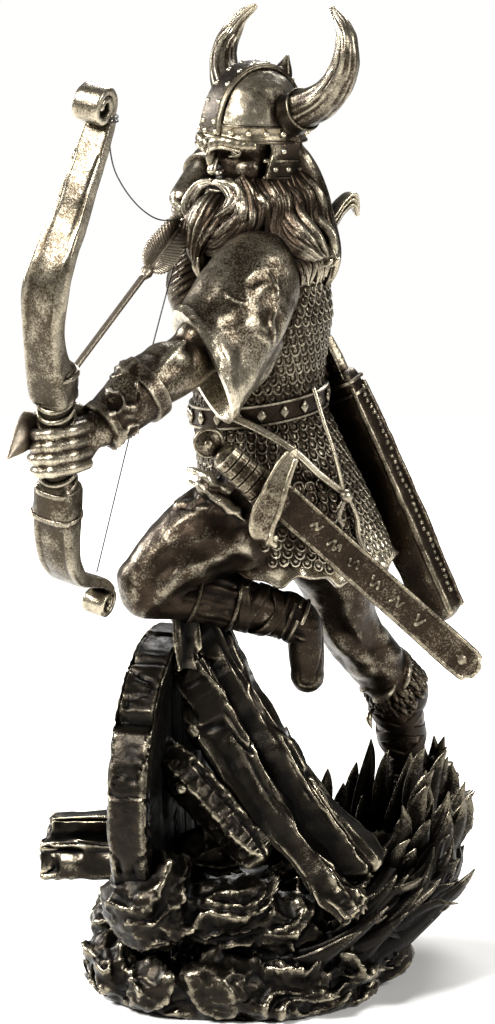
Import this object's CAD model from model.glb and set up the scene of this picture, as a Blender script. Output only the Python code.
import math

import bpy
import numpy as np
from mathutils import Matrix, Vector
from mathutils.bvhtree import BVHTree


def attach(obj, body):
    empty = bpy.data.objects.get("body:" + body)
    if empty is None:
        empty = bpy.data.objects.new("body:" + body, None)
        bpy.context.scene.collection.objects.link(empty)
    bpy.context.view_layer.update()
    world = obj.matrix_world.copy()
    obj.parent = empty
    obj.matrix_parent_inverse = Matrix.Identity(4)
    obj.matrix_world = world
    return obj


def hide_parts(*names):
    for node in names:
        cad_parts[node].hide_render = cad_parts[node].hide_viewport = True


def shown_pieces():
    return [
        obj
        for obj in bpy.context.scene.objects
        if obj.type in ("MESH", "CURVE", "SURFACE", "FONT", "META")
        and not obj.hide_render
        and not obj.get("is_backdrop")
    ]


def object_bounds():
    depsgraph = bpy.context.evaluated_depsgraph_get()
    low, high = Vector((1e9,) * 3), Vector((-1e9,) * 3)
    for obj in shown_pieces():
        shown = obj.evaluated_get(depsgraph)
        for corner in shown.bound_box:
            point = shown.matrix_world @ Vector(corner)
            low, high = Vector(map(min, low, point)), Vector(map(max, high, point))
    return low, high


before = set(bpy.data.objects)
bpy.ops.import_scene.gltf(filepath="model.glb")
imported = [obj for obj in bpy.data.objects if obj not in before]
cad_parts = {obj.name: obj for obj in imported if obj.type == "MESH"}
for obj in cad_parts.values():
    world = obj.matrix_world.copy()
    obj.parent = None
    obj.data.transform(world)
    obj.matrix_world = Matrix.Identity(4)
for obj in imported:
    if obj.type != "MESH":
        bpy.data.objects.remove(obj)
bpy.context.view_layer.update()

# Camera: a long lens, a little above the middle of the figure, as in the photograph.
CAMERA_DISTANCE = 1.2
CAMERA_ELEVATION = math.radians(12)
CAMERA_TARGET = Vector((0, 0, 0.1283))
LENS = 159.2
SENSOR = 36

lens = bpy.data.cameras.new("camera")
lens.sensor_fit = "VERTICAL"
lens.sensor_height = SENSOR
lens.lens = LENS
lens.clip_start = 0.02
camera = bpy.data.objects.new("camera", lens)
bpy.context.scene.collection.objects.link(camera)
outwards = Vector((0, -math.cos(CAMERA_ELEVATION), math.sin(CAMERA_ELEVATION)))
camera.location = CAMERA_TARGET + CAMERA_DISTANCE * outwards
camera.rotation_euler = (-outwards).to_track_quat("-Z", "Y").to_euler()
bpy.context.scene.camera = camera

# Rocky base: one casting of resin filled with bronze powder, modelled as layered rock with roots and
# leaf-like licks round its edge. It is washed nearly black, and only its ridges are rubbed bright.
MM = 0.001
UP = (0, 0, 1)
SIDEWAYS = (0, -1, 0)
SEED = 11


def unit(v):
    """Vectors at unit length, along the last axis."""
    v = np.asarray(v, float)
    return v / np.maximum(np.linalg.norm(v, axis=-1, keepdims=True), 1e-9)


def spline(rows, count):
    """A smooth curve through rows of numbers, at count even steps."""
    rows = np.asarray(rows, float)
    ends = np.vstack([2 * rows[0] - rows[1], rows, 2 * rows[-1] - rows[-2]])
    t = np.linspace(0, len(rows) - 1, count)
    i = np.minimum(t.astype(int), len(rows) - 2)
    u = (t - i)[:, None]
    a, b, c, d = ends[i], ends[i + 1], ends[i + 2], ends[i + 3]
    cubic = (3 * b - a - 3 * c + d) * u**3 + (2 * a - 5 * b + 4 * c - d) * u**2
    return 0.5 * (2 * b + (c - a) * u + cubic)


def loft(rings):
    """A closed skin over rings of points, an array of ring by side by xyz, with a point at each end."""
    rings = np.asarray(rings, float)
    count, sides = rings.shape[:2]
    points = np.vstack([rings.reshape(-1, 3), rings[0].mean(0), rings[-1].mean(0)])
    s = np.arange(sides)
    nxt = (s + 1) % sides
    starts = np.arange(count - 1)[:, None] * sides
    quads = np.stack([starts + s, starts + nxt, starts + sides + nxt, starts + sides + s], -1)
    last = (count - 1) * sides
    first_fan = np.stack([np.full(sides, count * sides), nxt, s], -1)
    last_fan = np.stack([np.full(sides, count * sides + 1), last + s, last + nxt], -1)
    return points, quads.reshape(-1, 4), np.vstack([first_fan, last_fan])


def sections(stations, rings, sides, across, square, profile):
    """Rings of points along stations of x, y, z, half width and half depth, with their centres, radii and directions."""
    rows = spline([list(r) if len(r) == 5 else [*r, r[3]] for r in stations], rings)
    centre = rows[:, :3]
    radii = np.maximum(rows[:, 3:], 0.04)
    along = unit(np.gradient(centre, axis=0))
    if across is None:
        side = np.zeros_like(along)
        side[0] = unit(np.cross(along[0], UP if abs(along[0][2]) < 0.9 else SIDEWAYS))
        for k in range(1, rings):
            side[k] = unit(side[k - 1] - along[k] * side[k - 1].dot(along[k]))
    else:
        across = np.asarray(across, float)
        side = unit(across - along * (along @ across)[:, None])
    other = np.cross(along, side)
    angle = 2 * np.pi * (np.arange(sides) + 0.5) / sides
    cos = np.sign(np.cos(angle)) * np.abs(np.cos(angle)) ** square
    sin = np.sign(np.sin(angle)) * np.abs(np.sin(angle)) ** square
    scale = np.ones((rings, sides))
    if profile is not None:
        scale = profile(np.linspace(0, 1, rings)[:, None], angle[None, :]) * scale
    width = side[:, None, :] * (radii[:, :1] * cos * scale)[:, :, None]
    depth = other[:, None, :] * (radii[:, 1:] * sin * scale)[:, :, None]
    return centre, radii, along, width + depth


def sweep(stations, rings=24, sides=16, across=None, square=1.0, profile=None, caps=3, round_end=0.9):
    """A closed member along stations of x, y, z, half width and half depth, in millimetres.

    Its width lies along "across"; profile(share along, angle) scales its section, ring by side.
    """
    centre, radii, along, reach = sections(stations, rings, sides, across, square, profile)
    turns = np.radians(np.linspace(90, 0, caps + 2)[1:-1])
    start = radii[0].min() * round_end
    end = radii[-1].min() * round_end
    out = [centre[0] - start * math.sin(a) * along[0] + math.cos(a) * reach[0] for a in turns]
    out += [centre[k] + reach[k] for k in range(rings)]
    out += [centre[-1] + end * math.sin(a) * along[-1] + math.cos(a) * reach[-1] for a in turns[::-1]]
    points, quads, fans = loft(out)
    points[-2] = centre[0] - along[0] * start
    points[-1] = centre[-1] + along[-1] * end
    return points, quads, fans


def ball(centre, radii, frame_axes=None, rounds=24):
    """An egg with its radii along the given axes."""
    tall = np.radians(np.linspace(-90, 90, rounds // 2 + 1)[1:-1])
    angle = 2 * np.pi * np.arange(rounds) / rounds
    rings = np.stack(
        [
            np.cos(tall)[:, None] * np.cos(angle)[None],
            np.cos(tall)[:, None] * np.sin(angle)[None],
            np.repeat(np.sin(tall)[:, None], rounds, 1),
        ],
        -1,
    )
    points, quads, fans = loft(rings * np.asarray(radii, float))
    points[-2] = (0, 0, -radii[2])
    points[-1] = (0, 0, radii[2])
    if frame_axes is not None:
        points = points @ np.asarray(frame_axes, float)
    return points + np.asarray(centre, float), quads, fans


def join(shapes):
    """Several shapes as one list of points, quads and triangles."""
    points, quads, fans, base = [], [], [], 0
    for p, q, f in shapes:
        points.append(p)
        quads.append(q + base)
        fans.append(f + base)
        base += len(p)
    return np.vstack(points), np.vstack(quads), np.vstack(fans)


def mesh_object(name, shapes, sharp=None):
    """An object of those shapes, given in millimetres; edges over sharp degrees stay crisp."""
    points, quads, fans = join(shapes)
    mesh = bpy.data.meshes.new(name)
    mesh.vertices.add(len(points))
    mesh.vertices.foreach_set("co", (points * MM).ravel())
    mesh.loops.add(quads.size + fans.size)
    mesh.loops.foreach_set("vertex_index", np.concatenate([quads.ravel(), fans.ravel()]).astype(np.int32))
    mesh.polygons.add(len(quads) + len(fans))
    starts = np.concatenate([np.arange(len(quads)) * 4, quads.size + np.arange(len(fans)) * 3])
    mesh.polygons.foreach_set("loop_start", starts.astype(np.int32))
    mesh.update(calc_edges=True)
    mesh.polygons.foreach_set("use_smooth", np.ones(len(mesh.polygons), bool))
    if sharp is not None:
        mesh.set_sharp_from_angle(angle=math.radians(sharp))
    piece = bpy.data.objects.new(name, mesh)
    bpy.context.scene.collection.objects.link(piece)
    return piece


def settle(piece, sharp=None):
    """Turns what an object's modifiers show into its plain mesh, and takes them off."""
    seen = piece.evaluated_get(bpy.context.evaluated_depsgraph_get())
    mesh = bpy.data.meshes.new_from_object(seen)
    piece.modifiers.clear()
    old = piece.data
    piece.data = mesh
    bpy.data.meshes.remove(old)
    mesh.polygons.foreach_set("use_smooth", np.ones(len(mesh.polygons), bool))
    if sharp is not None:
        mesh.set_sharp_from_angle(angle=math.radians(sharp))
    return piece


def fused(name, shapes, grain, smooth=3):
    """Overlapping shapes grown into one skin, as a sculptor's clay is, with facets about grain mm wide."""
    piece = mesh_object(name, shapes)
    skin = piece.modifiers.new("skin", "REMESH")
    skin.mode = "VOXEL"
    skin.voxel_size = grain * MM
    if smooth:
        soft = piece.modifiers.new("soft", "SMOOTH")
        soft.factor = 0.5
        soft.iterations = smooth
    return settle(piece)


def thinned(piece, share, sharp=None):
    """The same surface with a share of its triangles, spent where it bends."""
    fewer = piece.modifiers.new("fewer", "DECIMATE")
    fewer.ratio = share
    return settle(piece, sharp)


def points_of(piece):
    """A piece's points and their normals, in millimetres."""
    mesh = piece.data
    points = np.empty(len(mesh.vertices) * 3)
    mesh.vertices.foreach_get("co", points)
    normals = np.empty(len(mesh.vertices) * 3, np.float32)
    mesh.vertex_normals.foreach_get("vector", normals)
    return points.reshape(-1, 3) / MM, normals.reshape(-1, 3).astype(float)


def relief(piece, height, lean=(0, 0, 0)):
    """Moves each point along its normal, leaned over, by height(points, normals) in millimetres."""
    points, normals = points_of(piece)
    points += (normals + lean) * height(points, normals)[:, None]
    piece.data.vertices.foreach_set("co", (points * MM).ravel())
    piece.data.update()
    return piece


LATTICE = np.random.default_rng(SEED).random((32, 32, 32))


def noise(points, size):
    """Smooth noise from -1 to 1, with lumps about size mm across; size may be three numbers."""
    q = np.asarray(points, float) / np.asarray(size, float)
    cell = np.floor(q).astype(int)
    u = q - cell
    u = u * u * (3 - 2 * u)
    total = np.zeros(len(q))
    for corner in range(8):
        step = np.array([corner & 1, corner >> 1 & 1, corner >> 2])
        weight = np.prod(np.where(step, u, 1 - u), axis=1)
        at = (cell + step) % 32
        total += weight * LATTICE[at[:, 0], at[:, 1], at[:, 2]]
    return 2 * total - 1


def ridges(points, size, layers=3):
    """Sharp-crested noise from 0 to 1, each layer half the size of the last."""
    total, share, weight = np.zeros(len(points)), 0.0, 1.0
    for k in range(layers):
        total += weight * (1 - np.abs(noise(points + 17.3 * k, np.asarray(size) / 2**k)))
        share += weight
        weight *= 0.5
    return total / share


def linear(colour):
    """An sRGB hex colour as linear red, green and blue with an alpha of one."""
    parts = [int(colour[i : i + 2], 16) / 255 for i in (1, 3, 5)]
    return [*(c / 12.92 if c <= 0.04045 else ((c + 0.055) / 1.055) ** 2.4 for c in parts), 1]


def node(tree, kind, inputs=None, **settings):
    """Adds a node with its settings; an input is a value or the output socket that it is linked from."""
    made = tree.nodes.new(kind)
    for key, value in settings.items():
        setattr(made, key, value)
    for key, value in (inputs or {}).items():
        if isinstance(value, bpy.types.NodeSocket):
            tree.links.new(value, made.inputs[key])
        else:
            made.inputs[key].default_value = value
    return made


def add(tree, *sockets):
    """The sum of several sockets or numbers."""
    total = sockets[0]
    for socket in sockets[1:]:
        total = node(tree, "ShaderNodeMath", {0: total, 1: socket}, operation="ADD").outputs[0]
    return total


def scaled(tree, socket, factor, shift=0.0):
    return node(tree, "ShaderNodeMath", {0: socket, 1: factor, 2: shift}, operation="MULTIPLY_ADD").outputs[0]


def bronze(name, wash, body, rubbed, shine=0.36, grain=0.3, lift=0.0):
    """Cold-cast bronze: a dark wash in the hollows, a brown body and edges rubbed bright.

    The wear attribute runs from 0 in the hollows to 1 on the edges; lift moves the whole finish.
    """
    material = bpy.data.materials.new(name)
    material.use_nodes = True
    tree = material.node_tree
    shader = tree.nodes["Principled BSDF"]
    where = node(tree, "ShaderNodeTexCoord").outputs["Object"]
    wear = node(tree, "ShaderNodeAttribute", attribute_name="wear").outputs["Fac"]
    # Specks of 0.5 mm from the bronze powder, and patches of 5 mm where the rubbing was uneven
    specks = node(tree, "ShaderNodeTexNoise", {"Vector": where, "Scale": 2000, "Detail": 3, "Roughness": 0.6})
    patches = node(tree, "ShaderNodeTexNoise", {"Vector": where, "Scale": 200, "Detail": 5, "Roughness": 0.65})
    worn = add(
        tree,
        wear,
        scaled(tree, specks.outputs["Fac"], grain, -grain / 2 + lift),
        scaled(tree, patches.outputs["Fac"], 0.4, -0.2),
    )
    ramp = node(tree, "ShaderNodeValToRGB", {"Fac": worn})
    stops = ramp.color_ramp.elements
    stops[0].position, stops[0].color = 0.3, linear(wash)
    stops[1].position, stops[1].color = 0.95, linear(rubbed)
    middle = stops.new(0.6)
    middle.color = linear(body)
    tree.links.new(ramp.outputs["Color"], shader.inputs["Base Color"])
    gloss = node(tree, "ShaderNodeValToRGB", {"Fac": worn})
    levels = gloss.color_ramp.elements
    levels[0].position, levels[0].color = 0.0, (0.8, 0.8, 0.8, 1)
    levels[1].position, levels[1].color = 0.9, (shine - 0.08,) * 3 + (1,)
    levels.new(0.2).color = (shine + 0.16,) * 3 + (1,)
    tree.links.new(gloss.outputs["Color"], shader.inputs["Roughness"])
    shader.inputs["Metallic"].default_value = 0.92
    # Pits and hammer marks a tenth of a millimetre deep
    pits = node(tree, "ShaderNodeTexNoise", {"Vector": where, "Scale": 1100, "Detail": 4, "Roughness": 0.7})
    bump = node(tree, "ShaderNodeBump", {"Height": pits.outputs["Fac"], "Strength": 0.35, "Distance": 0.0003})
    tree.links.new(bump.outputs["Normal"], shader.inputs["Normal"])
    return material


def finished(piece, material, slot, *solids):
    """Gives a piece its material, sets it on the body of the object and names the solids that it stands for."""
    piece.data.materials.clear()
    piece.data.materials.append(material)
    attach(piece, "root")
    if solids:
        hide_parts(*solids)


washed_bronze = bronze("dark_washed_bronze", "#0a0908", "#27221b", "#b5aa92", shine=0.26, lift=-0.1)
black_bronze = bronze("black_washed_bronze", "#0a0908", "#1e1a15", "#a89d86", shine=0.26, grain=0.4, lift=-0.26)

# Mound rows: height, centre x, centre y, half width, half depth
MOUND = [
    (0, -2, -4, 38.5, 36),
    (3, -2, -4, 41.5, 38.6),
    (8, -1, -3, 41, 38.4),
    (12.5, 2, 0, 38.6, 36.8),
    (18, 6, 5, 43, 39.6),
    (25, 12, 10, 43, 38),
    (30, 14, 15, 38, 32),
    (32.5, 15, 18, 27, 22),
]


def on_mound(angle, height, out=0.0):
    """A point on the side of the mound, at an angle in degrees from +X."""
    rows = np.array(MOUND)
    cx, cy, wide, deep = (np.interp(height, rows[:, 0], rows[:, k]) for k in range(1, 5))
    a = np.radians(angle)
    return [cx + (wide + out) * np.cos(a), cy + (deep + out) * np.sin(a), height]


def mound():
    angle = 2 * np.pi * np.arange(96) / 96
    rings = []
    for z, cx, cy, wide, deep in spline(MOUND, 20):
        swell = 1 + (z > 1) * (0.04 * np.sin(5 * angle + z / 4) + 0.03 * np.sin(9 * angle + z / 2))
        rings.append(
            np.stack([cx + wide * swell * np.cos(angle), cy + deep * swell * np.sin(angle), angle * 0 + z], -1)
        )
    return loft(rings)


# Lumps of rock: centre and half sizes
ROCKS = [
    (-35, -26, 9, 7, 7, 7),
    (-24, -34, 8, 10, 7, 7),
    (-6, -38.4, 9, 12, 7, 8),
    (13, -36, 11, 11, 7, 8),
    (27, -26, 14, 9.4, 8.4, 9),
    (-37, -6, 18, 6, 11, 8),
    (-30, 22, 15, 9, 11, 9),
    (-4, 36, 15, 15, 9, 10),
    (24, 41, 19, 15, 9, 11),
    (43, 20, 20, 11, 15, 10),
    (43, 38, 24, 16, 14, 9),
    (26, -12, 27, 15, 11, 7),
    (0, -24, 20, 21, 12, 8),
    (-40, -20, 14, 4.6, 6, 4.4),
    (-25, -34, 30, 13, 11, 13),
    (-6, -32, 28, 15, 10, 12),
    (10, -32, 24, 13, 9, 10),
    (52, 44, 40, 5, 5, 12),
    (57, 37, 34, 4.6, 6, 10),
    (-9, -14, 39, 9, 6, 7),
]

rng = np.random.default_rng(SEED)
clay = [mound()] + [ball((x, y, z), (0.94 * a, 0.94 * b, 0.92 * c), rounds=28) for x, y, z, a, b, c in ROCKS]
rock = fused("rocky_base", clay, grain=0.9, smooth=4)


def warped(p, size, reach):
    """Points pushed about by noise, so that what is drawn on them swirls."""
    return p + reach * np.stack([noise(p + 40 * k, size) for k in (1, 2, 3)], -1)


def crests(p, n):
    """Crests like torn, flowing rock that rises to the right."""
    q = warped(warped(p, 15, 7), 6, 2)
    q[:, 2] -= 0.3 * q[:, 0]
    wide = ridges(q, (22, 22, 9), 1) ** 4
    middle = ridges(q + 20, (10, 10, 5), 1) ** 4
    return (3.6 * (wide - 0.3) + 2.4 * (middle - 0.3) - 0.6) * np.clip(p[:, 2] / 3, 0.1, 1)


def grit(p, n):
    """Small folds and casting grain between the crests."""
    q = warped(p, 4, 1.5)
    small = ridges(q + 50, (4.4, 4.4, 2.4), 2) ** 3
    return (1.1 * (small - 0.36) + 0.2 * noise(p, 1.4)) * np.clip(p[:, 2] / 2, 0.1, 1)


def stand_flat(piece):
    """Keeps a piece on or above the underside."""
    points, _ = points_of(piece)
    points[:, 2] = np.where(points[:, 2] < 0.45, 0, points[:, 2])
    piece.data.vertices.foreach_set("co", (points * MM).ravel())
    piece.data.update()


relief(rock, crests, lean=(0.35, 0, 0.55))
relief(rock, grit)
stand_flat(rock)


LEAF_ACROSS = np.array((-1, -0.35, 1))


def lick(base, out, height, width, curl, turn=0.0, rings=16):
    """A pointed leaf that leans out as it rises and curls at its tip, hollow along its middle."""
    x, y, z = base
    dx, dy = out
    stations = []
    for share in (0, 0.3, 0.6, 0.85, 1):
        bend = share**1.3 * (1 - 0.35 * curl * share**3)
        sway = 1.3 * turn * math.sin(2 * math.pi * share)
        wide = width * (0.55 + 1.1 * share - 1.6 * share**3) + 0.12
        stations.append(
            [
                x + dx * bend - 0.5 * sway,
                y + dy * bend - 0.2 * sway,
                z - 3 + (height + 3) * share + 0.35 * sway,
                max(wide, 0.25),
                max(0.4 * wide * (1 - 0.6 * share), 0.22),
            ]
        )
    return sweep(stations, rings=rings, sides=10, across=unit(LEAF_ACROSS + rng.normal(0, 0.3, 3)), profile=leaf_edge)


def leaf_edge(t, a):
    """A leaf's section, hollow on both faces so that its edges and midrib stand up."""
    return 1 - 0.5 * np.abs(np.sin(2 * a)) ** 1.5 * (1 - 0.3 * t)


def streamer(start, turn, low, rise, out, width, tip):
    """A leaf that flows round the mound as it climbs, then lifts its tip clear of the rock."""
    stations = []
    for share in (0, 0.18, 0.38, 0.58, 0.76, 0.9, 1):
        wave = math.sin(7.5 * share + start)
        lift = out * share**2 - 1.5 * wave * share
        place = on_mound(start + turn * share, min(low + rise * share + 1.6 * wave, 30), 0.4 + 0.9 * wave)
        a = math.radians(start + turn * share)
        place = [place[0] + lift * math.cos(a), place[1] + lift * math.sin(a), place[2] + tip * share**2]
        wide = width * (0.5 + 1.5 * share - 1.9 * share**3)
        stations.append([*place, max(wide, 0.28), max(0.36 * wide, 0.24)])
    return sweep(stations, rings=26, sides=10, across=unit(LEAF_ACROSS + rng.normal(0, 0.3, 3)), profile=leaf_edge)


leaves = []
# Leaves that stream up the right-hand side in layers, longest at the rim
for i in range(50):
    start = rng.uniform(-92, 26)
    low = rng.uniform(8, 28)
    leaves.append(
        streamer(start, rng.uniform(16, 40), low, rng.uniform(2, 8), rng.uniform(2, 11), rng.uniform(2.2, 4), rng.uniform(3, 13))
    )
# Tongues along the right-hand rim, the tallest half-way back
for tier in range(3):
    for i in range(12):
        share = i / 11
        a = math.radians(-48 + 112 * share + rng.uniform(-5, 5))
        ring = 1.0 - 0.09 * tier
        base = [13 + 36 * ring * math.cos(a), 13 + 33 * ring * math.sin(a), 18 + 4 * tier + 5 * share]
        reach = 14 - 2.4 * tier
        tall = (16 + 12 * math.sin(math.pi * share)) * rng.uniform(0.7, 1.3)
        out = (reach * math.cos(a), reach * math.sin(a) * 0.66)
        leaves.append(lick(base, out, min(tall, 58 - base[2]), rng.uniform(3.2, 5), rng.uniform(0, 0.9), rng.uniform(-3, 3)))
# Taller ones round the far foot
for i in range(12):
    a = math.radians(-120 + 28 * i)
    base = [44 + 6.8 * math.cos(a), 42.4 + 5 * math.sin(a), 28]
    out = (3.8 * math.cos(a) + 1.6, 2.4 * math.sin(a))
    tall = 16 + 11 * math.cos(a - 0.5)
    leaves.append(lick(base, out, max(tall, 7), rng.uniform(3, 4.4), 0.5, rng.uniform(-3, 3)))
# Low torn ones over the left and the front
for i in range(40):
    start = rng.uniform(150, 285)
    turn = rng.uniform(-22, 22)
    leaves.append(streamer(start, turn, rng.uniform(3, 24), rng.uniform(-2, 4), 1, rng.uniform(0.8, 1.6), rng.uniform(0, 3)))
# Short tufts at the left and below the planks
for i in range(26):
    a = rng.uniform(160, 292)
    base = on_mound(a, rng.uniform(14, 27), -1)
    out = (3.4 * math.cos(math.radians(a)), 3.4 * math.sin(math.radians(a)))
    leaves.append(lick(base, out, rng.uniform(4, 8), rng.uniform(1.4, 2.4), rng.uniform(0, 1), rng.uniform(-4, 4)))
# Stakes that stick up behind the planks, seen through the gap below the legs
STAKES = [
    ((11.4, 36, 36), (-1, 0.5), 24, 4.2, 0.9),
    ((21, 37, 35), (1.5, 1), 12.5, 2.8, 0.5),
    ((23.6, 34, 35), (4.4, 0), 9.5, 2.6, 1),
    ((31, 32, 33), (1, 0), 8.4, 2.4, 1),
    ((4, 34, 33), (-3, 2), 12, 3, 0.4),
    ((-8, 30, 31), (-4, 2), 10, 3, 0.8),
]
leaves += [lick(base, out, tall, wide, curl) for base, out, tall, wide, curl in STAKES]
leaf = mesh_object("rock_licks", leaves)


def drawn_in(piece, axis, limit):
    """Points beyond a limit on one axis are drawn back, most of the way, to keep inside the solid's box."""
    points, _ = points_of(piece)
    beyond = points[:, axis] - limit
    points[:, axis] -= 0.6 * np.where(beyond * limit > 0, beyond, 0)
    piece.data.vertices.foreach_set("co", (points * MM).ravel())


drawn_in(rock, 0, 62)
drawn_in(leaf, 0, 62.6)
finished(rock, washed_bronze, "dark_bronze", "ground")
finished(leaf, black_bronze, "dark_bronze")

# Round shield standing on its edge: boards inside a thick hammered rim, cracked and notched, with a low
# iron boss. It is cast with the base, so it has the same dark bronze finish.
SHIELD_RADIUS = 40.6
SHIELD_THICKNESS = 10.6
SHIELD_CENTRE = (-21.2, -6, 57.8)
SHIELD_BOARD = 9.5  # width of one board
SHIELD_RIM = 6.0
SHIELD_TURN = math.radians(13)
SHIELD_LEAN = math.radians(2)
SHIELD_ROLL = math.radians(6)


def turn_x(a):
    return np.array([[1, 0, 0], [0, math.cos(a), -math.sin(a)], [0, math.sin(a), math.cos(a)]])


def turn_z(a):
    return np.array([[math.cos(a), -math.sin(a), 0], [math.sin(a), math.cos(a), 0], [0, 0, 1]])


# The disc is made flat on the XY plane, stood on edge, leaned, rolled and turned
STAND = np.array([[0, 0, 1], [0, 1, 0], [-1, 0, 0]])
SHIELD_AXES = turn_z(-SHIELD_TURN) @ turn_x(SHIELD_ROLL) @ turn_z(-SHIELD_LEAN) @ STAND

half = SHIELD_THICKNESS / 2
profile_rows = [(2, -half + 0.6), (12, -half + 0.6), (24, -half + 0.6), (SHIELD_RADIUS - SHIELD_RIM, -half + 0.7)]
profile_rows += [(SHIELD_RADIUS - SHIELD_RIM + 0.6, -half), (SHIELD_RADIUS - 1, -half), (SHIELD_RADIUS, -half + 1)]
profile_rows += [(SHIELD_RADIUS, -half * 0.5 + k * half / 4) for k in range(5)]
profile_rows += [(r, -h) for r, h in profile_rows[6::-1]]
dense = []
for (r0, h0), (r1, h1) in zip(profile_rows, profile_rows[1:]):
    steps = max(1, int(math.hypot(r1 - r0, h1 - h0) / (0.7 if r1 > SHIELD_RADIUS - SHIELD_RIM else 2.4)))
    dense += [(r0 + (r1 - r0) * k / steps, h0 + (h1 - h0) * k / steps) for k in range(steps)]
dense.append(profile_rows[-1])
angle = 2 * np.pi * np.arange(400) / 400
disc = loft([np.stack([r * np.cos(angle), r * np.sin(angle), angle * 0 + h], -1) for r, h in dense])


def shield_face(p):
    """Depth of the boards' joints, the rim's pits and cracks, and the notch knocked out of the rim."""
    radius = np.hypot(p[:, 0], p[:, 1])
    inside = radius < SHIELD_RADIUS - SHIELD_RIM - 0.3
    across = np.abs((p[:, 1] / SHIELD_BOARD + 0.5) % 1 - 0.5) * SHIELD_BOARD
    joint = -0.9 * np.clip(1 - across / 0.6, 0, 1)
    grain = -0.35 * ridges(p, (26, 1.6, 3), 2)
    crack = -0.9 * np.clip(1 - np.abs(noise(warped(p, 6, 1.5), (15, 11, 9))) / 0.05, 0, 1)
    pits = -0.3 * np.clip(noise(p, 1.3), 0, 1) ** 0.7 - 0.25 * np.clip(noise(p, 2.6), 0, 1)
    return np.where(inside, joint + grain, crack + pits)


points, quads, fans = disc
flat_normal = np.zeros_like(points)
flat_normal[:, 2] = np.sign(points[:, 2]) * (np.abs(points[:, 2]) > half - 1)
outer = np.hypot(points[:, 0], points[:, 1]) > SHIELD_RADIUS - 0.6
flat_normal[outer] = unit(points[outer] * (1, 1, 0))
points = points + flat_normal * shield_face(points)[:, None]
# Two notches in the rim on the side towards the viewer, and one behind
for where, deep, long in ((-131, 2.6, 3.4), (-160, 1.2, 2.2), (66, 2.6, 3.4)):
    bearing = np.degrees(np.arctan2(points[:, 1], points[:, 0]))
    gap = np.abs((bearing - where + 180) % 360 - 180) * math.radians(SHIELD_RADIUS)
    dip = deep * np.clip(1 - gap / long, 0, 1) * outer
    points[:, :2] -= unit(points[:, :2]) * dip[:, None]
# Above the first notch the rim is worn back
worn_back = 0.9 * np.clip((-129 - bearing) / 4, 0, 1) * (bearing < 0) * outer
points[:, :2] -= unit(points[:, :2]) * worn_back[:, None]
disc = (points @ SHIELD_AXES.T + SHIELD_CENTRE, quads, fans)
boss_shape = ball((0, 0, -half), (8.2, 8.2, 3.6), rounds=40)
boss_shape = (boss_shape[0] @ SHIELD_AXES.T + SHIELD_CENTRE, *boss_shape[1:])
boss_ring = [(9.6 * math.cos(a), 9.6 * math.sin(a), -half + 0.2, 1.1, 0.8) for a in np.linspace(0, 6.2, 25)]
ring_shape = sweep(boss_ring, rings=80, sides=8)
ring_shape = (ring_shape[0] @ SHIELD_AXES.T + SHIELD_CENTRE, *ring_shape[1:])
shield = mesh_object("shield", [disc, boss_shape, ring_shape], sharp=40)

# Split timbers: two long planks that lean on the shield, a stub on top, plank ends and a log, all cast
# with the base. Their grain runs along them, and their ends are splintered.


def timber(stations, across, rings, sides, tear=2.0, square=0.28, seed=0):
    """A plank along its stations, with grain along it and torn ends."""
    points, quads, fans = sweep(
        stations, rings=rings, sides=sides, across=across, square=square, caps=6, round_end=0.25
    )
    first = np.array(stations[0][:3], float)
    last = np.array(stations[-1][:3], float)
    along = unit(last - first)
    side = unit(np.asarray(across, float) - along * along.dot(across))
    basis = np.stack([along, side, np.cross(along, side)], 1)
    q = (points - first) @ basis
    q += seed * 7.7
    middle = np.array([np.interp(q[:, 0] - seed * 7.7, *zip(*[((np.array(s[:3]) - first) @ along, s[k]) for s in stations])) for k in range(3)]).T
    outwards = unit(points - middle)
    q = warped(q, (12, 6, 6), 0.9)
    grain = 1.3 * (ridges(q, (34, 3.1, 3.1), 1) ** 3 - 0.4) + 1.5 * (ridges(q, (18, 2.2, 2.2), 1) ** 2 - 0.5)
    split = -2.2 * np.clip(1 - np.abs(noise(q + 90, (50, 5.5, 5.5))) / 0.07, 0, 1)
    knot = 0.5 * noise(q, (8, 5, 5)) + 0.8 * (ridges(q, (7, 2.2, 2.2), 2) - 0.7)
    points = points + outwards * (grain + split + knot)[:, None]
    length = np.linalg.norm(last - first)
    reach = (points - first) @ along
    for end, sign in ((0, -1), (length, 1)):
        near = np.clip(1 - np.abs(reach - end) / (0.1 * length), 0, 1)
        ragged = ridges(q * (0, 1, 1) + 31 * (sign + 2), 3.4, 2) - 0.75
        points = points + along * (sign * tear * 3 * near * ragged)[:, None]
    return points, quads, fans


PLANK_FACE = (0.86, -0.1, 0.5)
LONG_PLANK = [
    (-11.6, -11.6, 101.4, 5, 4.4),
    (-4.4, -13.6, 85.6, 5.1, 4.8),
    (5, -17, 69.4, 5.5, 5),
    (15.4, -21, 54, 6.2, 5),
    (29.6, -25.8, 36.4, 7.2, 5),
]
DARK_PLANK = [
    (-15, -15.4, 89.4, 5.6, 3.6),
    (-7.6, -18.6, 75.6, 5.6, 4),
    (4.4, -24.6, 56, 4.5, 4),
    (17.6, -31, 39.6, 4.2, 3.8),
    (28.6, -35.8, 29, 4.4, 3.6),
]
BACK_PLANK = [(-16, 3, 84, 5.5, 4.4), (0, 6.6, 56, 8, 4.4), (22, 10.5, 26, 8, 4.6)]
STUB = [(-16, -16.2, 90.6, 3.5, 3.8), (-16.1, -16.4, 97, 3.6, 3.9), (-16.1, -15.4, 104, 3.4, 3.7)]
LOW_END = [(-54.2, 6, 32, 4.8, 5.6), (-38, 3, 32.4, 5, 5.8), (-20, 0, 33, 5, 5.8)]
HIGH_END = [(-53, 13, 38.6, 2.8, 5), (-37, 11, 39.4, 3, 5.2), (-20, 8, 40, 3, 5.2)]
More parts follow.
